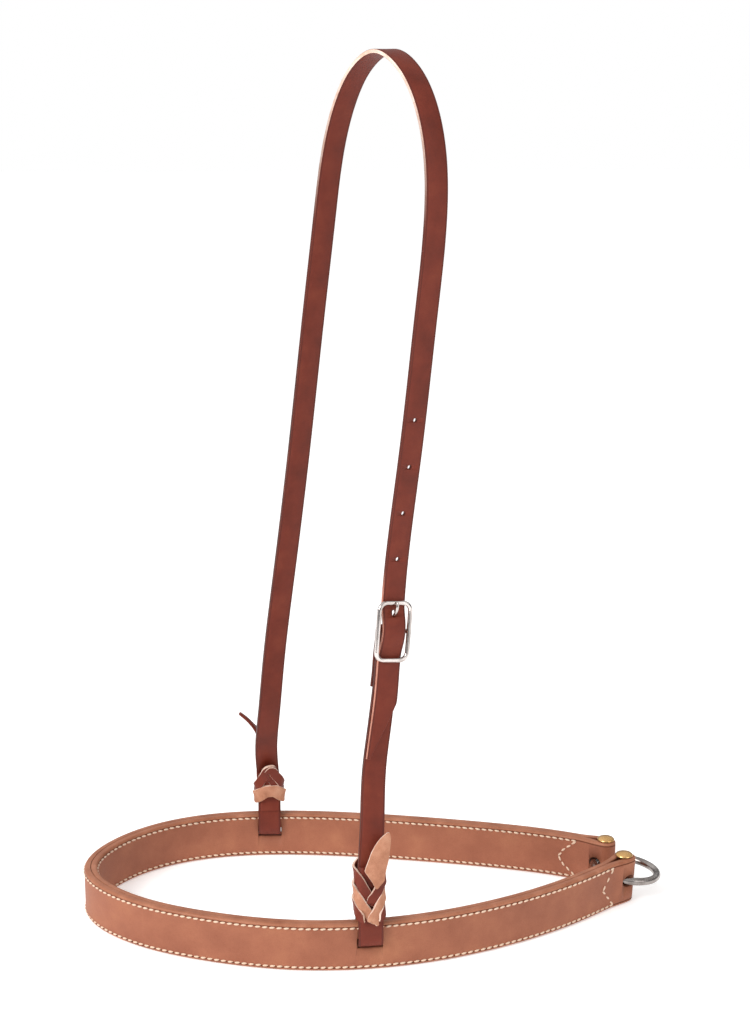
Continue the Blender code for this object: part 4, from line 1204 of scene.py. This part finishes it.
def paleFloor():
    half, low = studioSizes["floorHalf"], -0.0002
    corners = [(-half, -half, 0), (half, -half, 0), (half, half, 0), (-half, half, 0)]
    mesh = plainMesh("floor", corners, [(0, 1, 2, 3)])
    material, tree, shader = newMaterial(
        "paleFloor", Roughness=0.9, Base_Color=linear("#fbfaf9"), Emission_Color=(1.0, 1.0, 1.0, 1.0),
        Emission_Strength=studioSizes["floorGlow"])
    mesh.materials.append(material)
    floor = placeObject("floor", mesh)
    floor.location.z = low


def studioWorld():
    # the camera sees plain white; the object is lit more from the left, with a grey band low down for the metal
    world = bpy.data.worlds.new("studio")
    bpy.context.scene.world = world
    world.use_nodes = True
    tree = world.node_tree
    tree.nodes.clear()
    place = addNode(tree, "ShaderNodeTexCoord")
    axes = addNode(tree, "ShaderNodeSeparateXYZ", links={"Vector": place.outputs["Generated"]})
    side = addNode(tree, "ShaderNodeMapRange", links={"Value": axes.outputs["X"]},
            From_Min=-0.8, From_Max=0.8, To_Min=1.10, To_Max=0.66)
    height = addNode(tree, "ShaderNodeMapRange", links={"Value": axes.outputs["Z"]}, From_Min=-1.0,
            From_Max=1.0)
    band = addNode(tree, "ShaderNodeValToRGB", links={"Fac": height.outputs["Result"]})
    setStops(band, [(0.46, "#c8c8c8"), (0.54, "#8c8c8e"), (0.62, "#a0a0a2"), (0.70, "#fafafa"),
            (1.0, "#ffffff")])
    studio = addNode(tree, "ShaderNodeBackground", links={"Color": band.outputs["Color"],
            "Strength": side.outputs["Result"]})
    backdrop = addNode(tree, "ShaderNodeBackground", Color=(1.0, 1.0, 1.0, 1.0), Strength=1.0)
    ray = addNode(tree, "ShaderNodeLightPath")
    mixed = addNode(tree, "ShaderNodeMixShader", links={0: ray.outputs["Is Camera Ray"],
            1: studio.outputs["Background"],
            2: backdrop.outputs["Background"]})
    addNode(tree, "ShaderNodeOutputWorld", links={"Surface": mixed.outputs["Shader"]})


def softLight(name, place, target, size, power):
    data = bpy.data.lights.new(name, "AREA")
    data.shape = "SQUARE"
    data.size = size
    data.energy = power
    lamp = bpy.data.objects.new(name, data)
    sceneRoot.objects.link(lamp)
    lamp.location = place
    lamp.rotation_mode = "QUATERNION"
    lamp.rotation_quaternion = (Vector(target) - Vector(place)).to_track_quat("-Z", "Y")


def studioCamera():
    data = bpy.data.cameras.new("photoCamera")
    camera = placeObject("photoCamera", data)
    data.sensor_width = 36.0
    data.lens = studioSizes["lens"]
    camera.location = studioSizes["cameraPlace"]
    turn, down = studioSizes["cameraTurn"], studioSizes["cameraDown"]
    look = Vector((math.sin(turn) * math.cos(down), math.cos(turn) * math.cos(down), -math.sin(down)))
    camera.rotation_mode = "QUATERNION"
    camera.rotation_quaternion = look.to_track_quat("-Z", "Y")
    return camera


paleFloor()
studioWorld()
for settings in studioSizes["lights"]:
    softLight(*settings)
bpy.context.scene.camera = studioCamera()
bpy.context.scene.view_settings.view_transform = "Standard"
print("studio ready")

# ---- which body each piece rides on, the node it stands for, and its finish

pieces = {
    "outerPly": ("noseband", "noseband_outer_ply", "harness_leather"),
    "liningPly": ("noseband", "noseband_lining", "lining_leather"),
    "outerStitches": ("noseband", "outer_stitching", "cream_thread"),
    "innerStitches": ("noseband", "inner_stitching", "lining_thread"),
    "nearRivet": ("noseband", "near_end_rivet", "brass"),
    "farRivet": ("noseband", "far_end_rivet", "brass"),
    "tieRing": ("ring", "tie_ring", "steel_ring"),
    "crownStrap": ("hanger", "crown_strap", "latigo_leather"),
    "cheekStrap": ("hanger", "near_cheek_strap", "latigo_leather"),
    "nearKnot": ("hanger", "near_knot", "latigo_leather"),
    "farKnot": ("hanger", "far_knot", "latigo_leather"),
    "nearLeaf": ("hanger", "near_tail", "latigo_flesh_side"),
    "farCurl": ("hanger", "far_tail", "latigo_leather"),
    "buckleFrame": ("buckle", "buckle_frame", "nickel"),
    "centreBar": ("buckle", "buckle_centre_bar", "nickel"),
    "buckleTongue": ("tongue", "buckle_tongue", "nickel"),
}
for name, (body, node, slot) in pieces.items():
    piece = bpy.data.objects[name]
    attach(piece, body)
    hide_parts(node)
print("pieces placed")
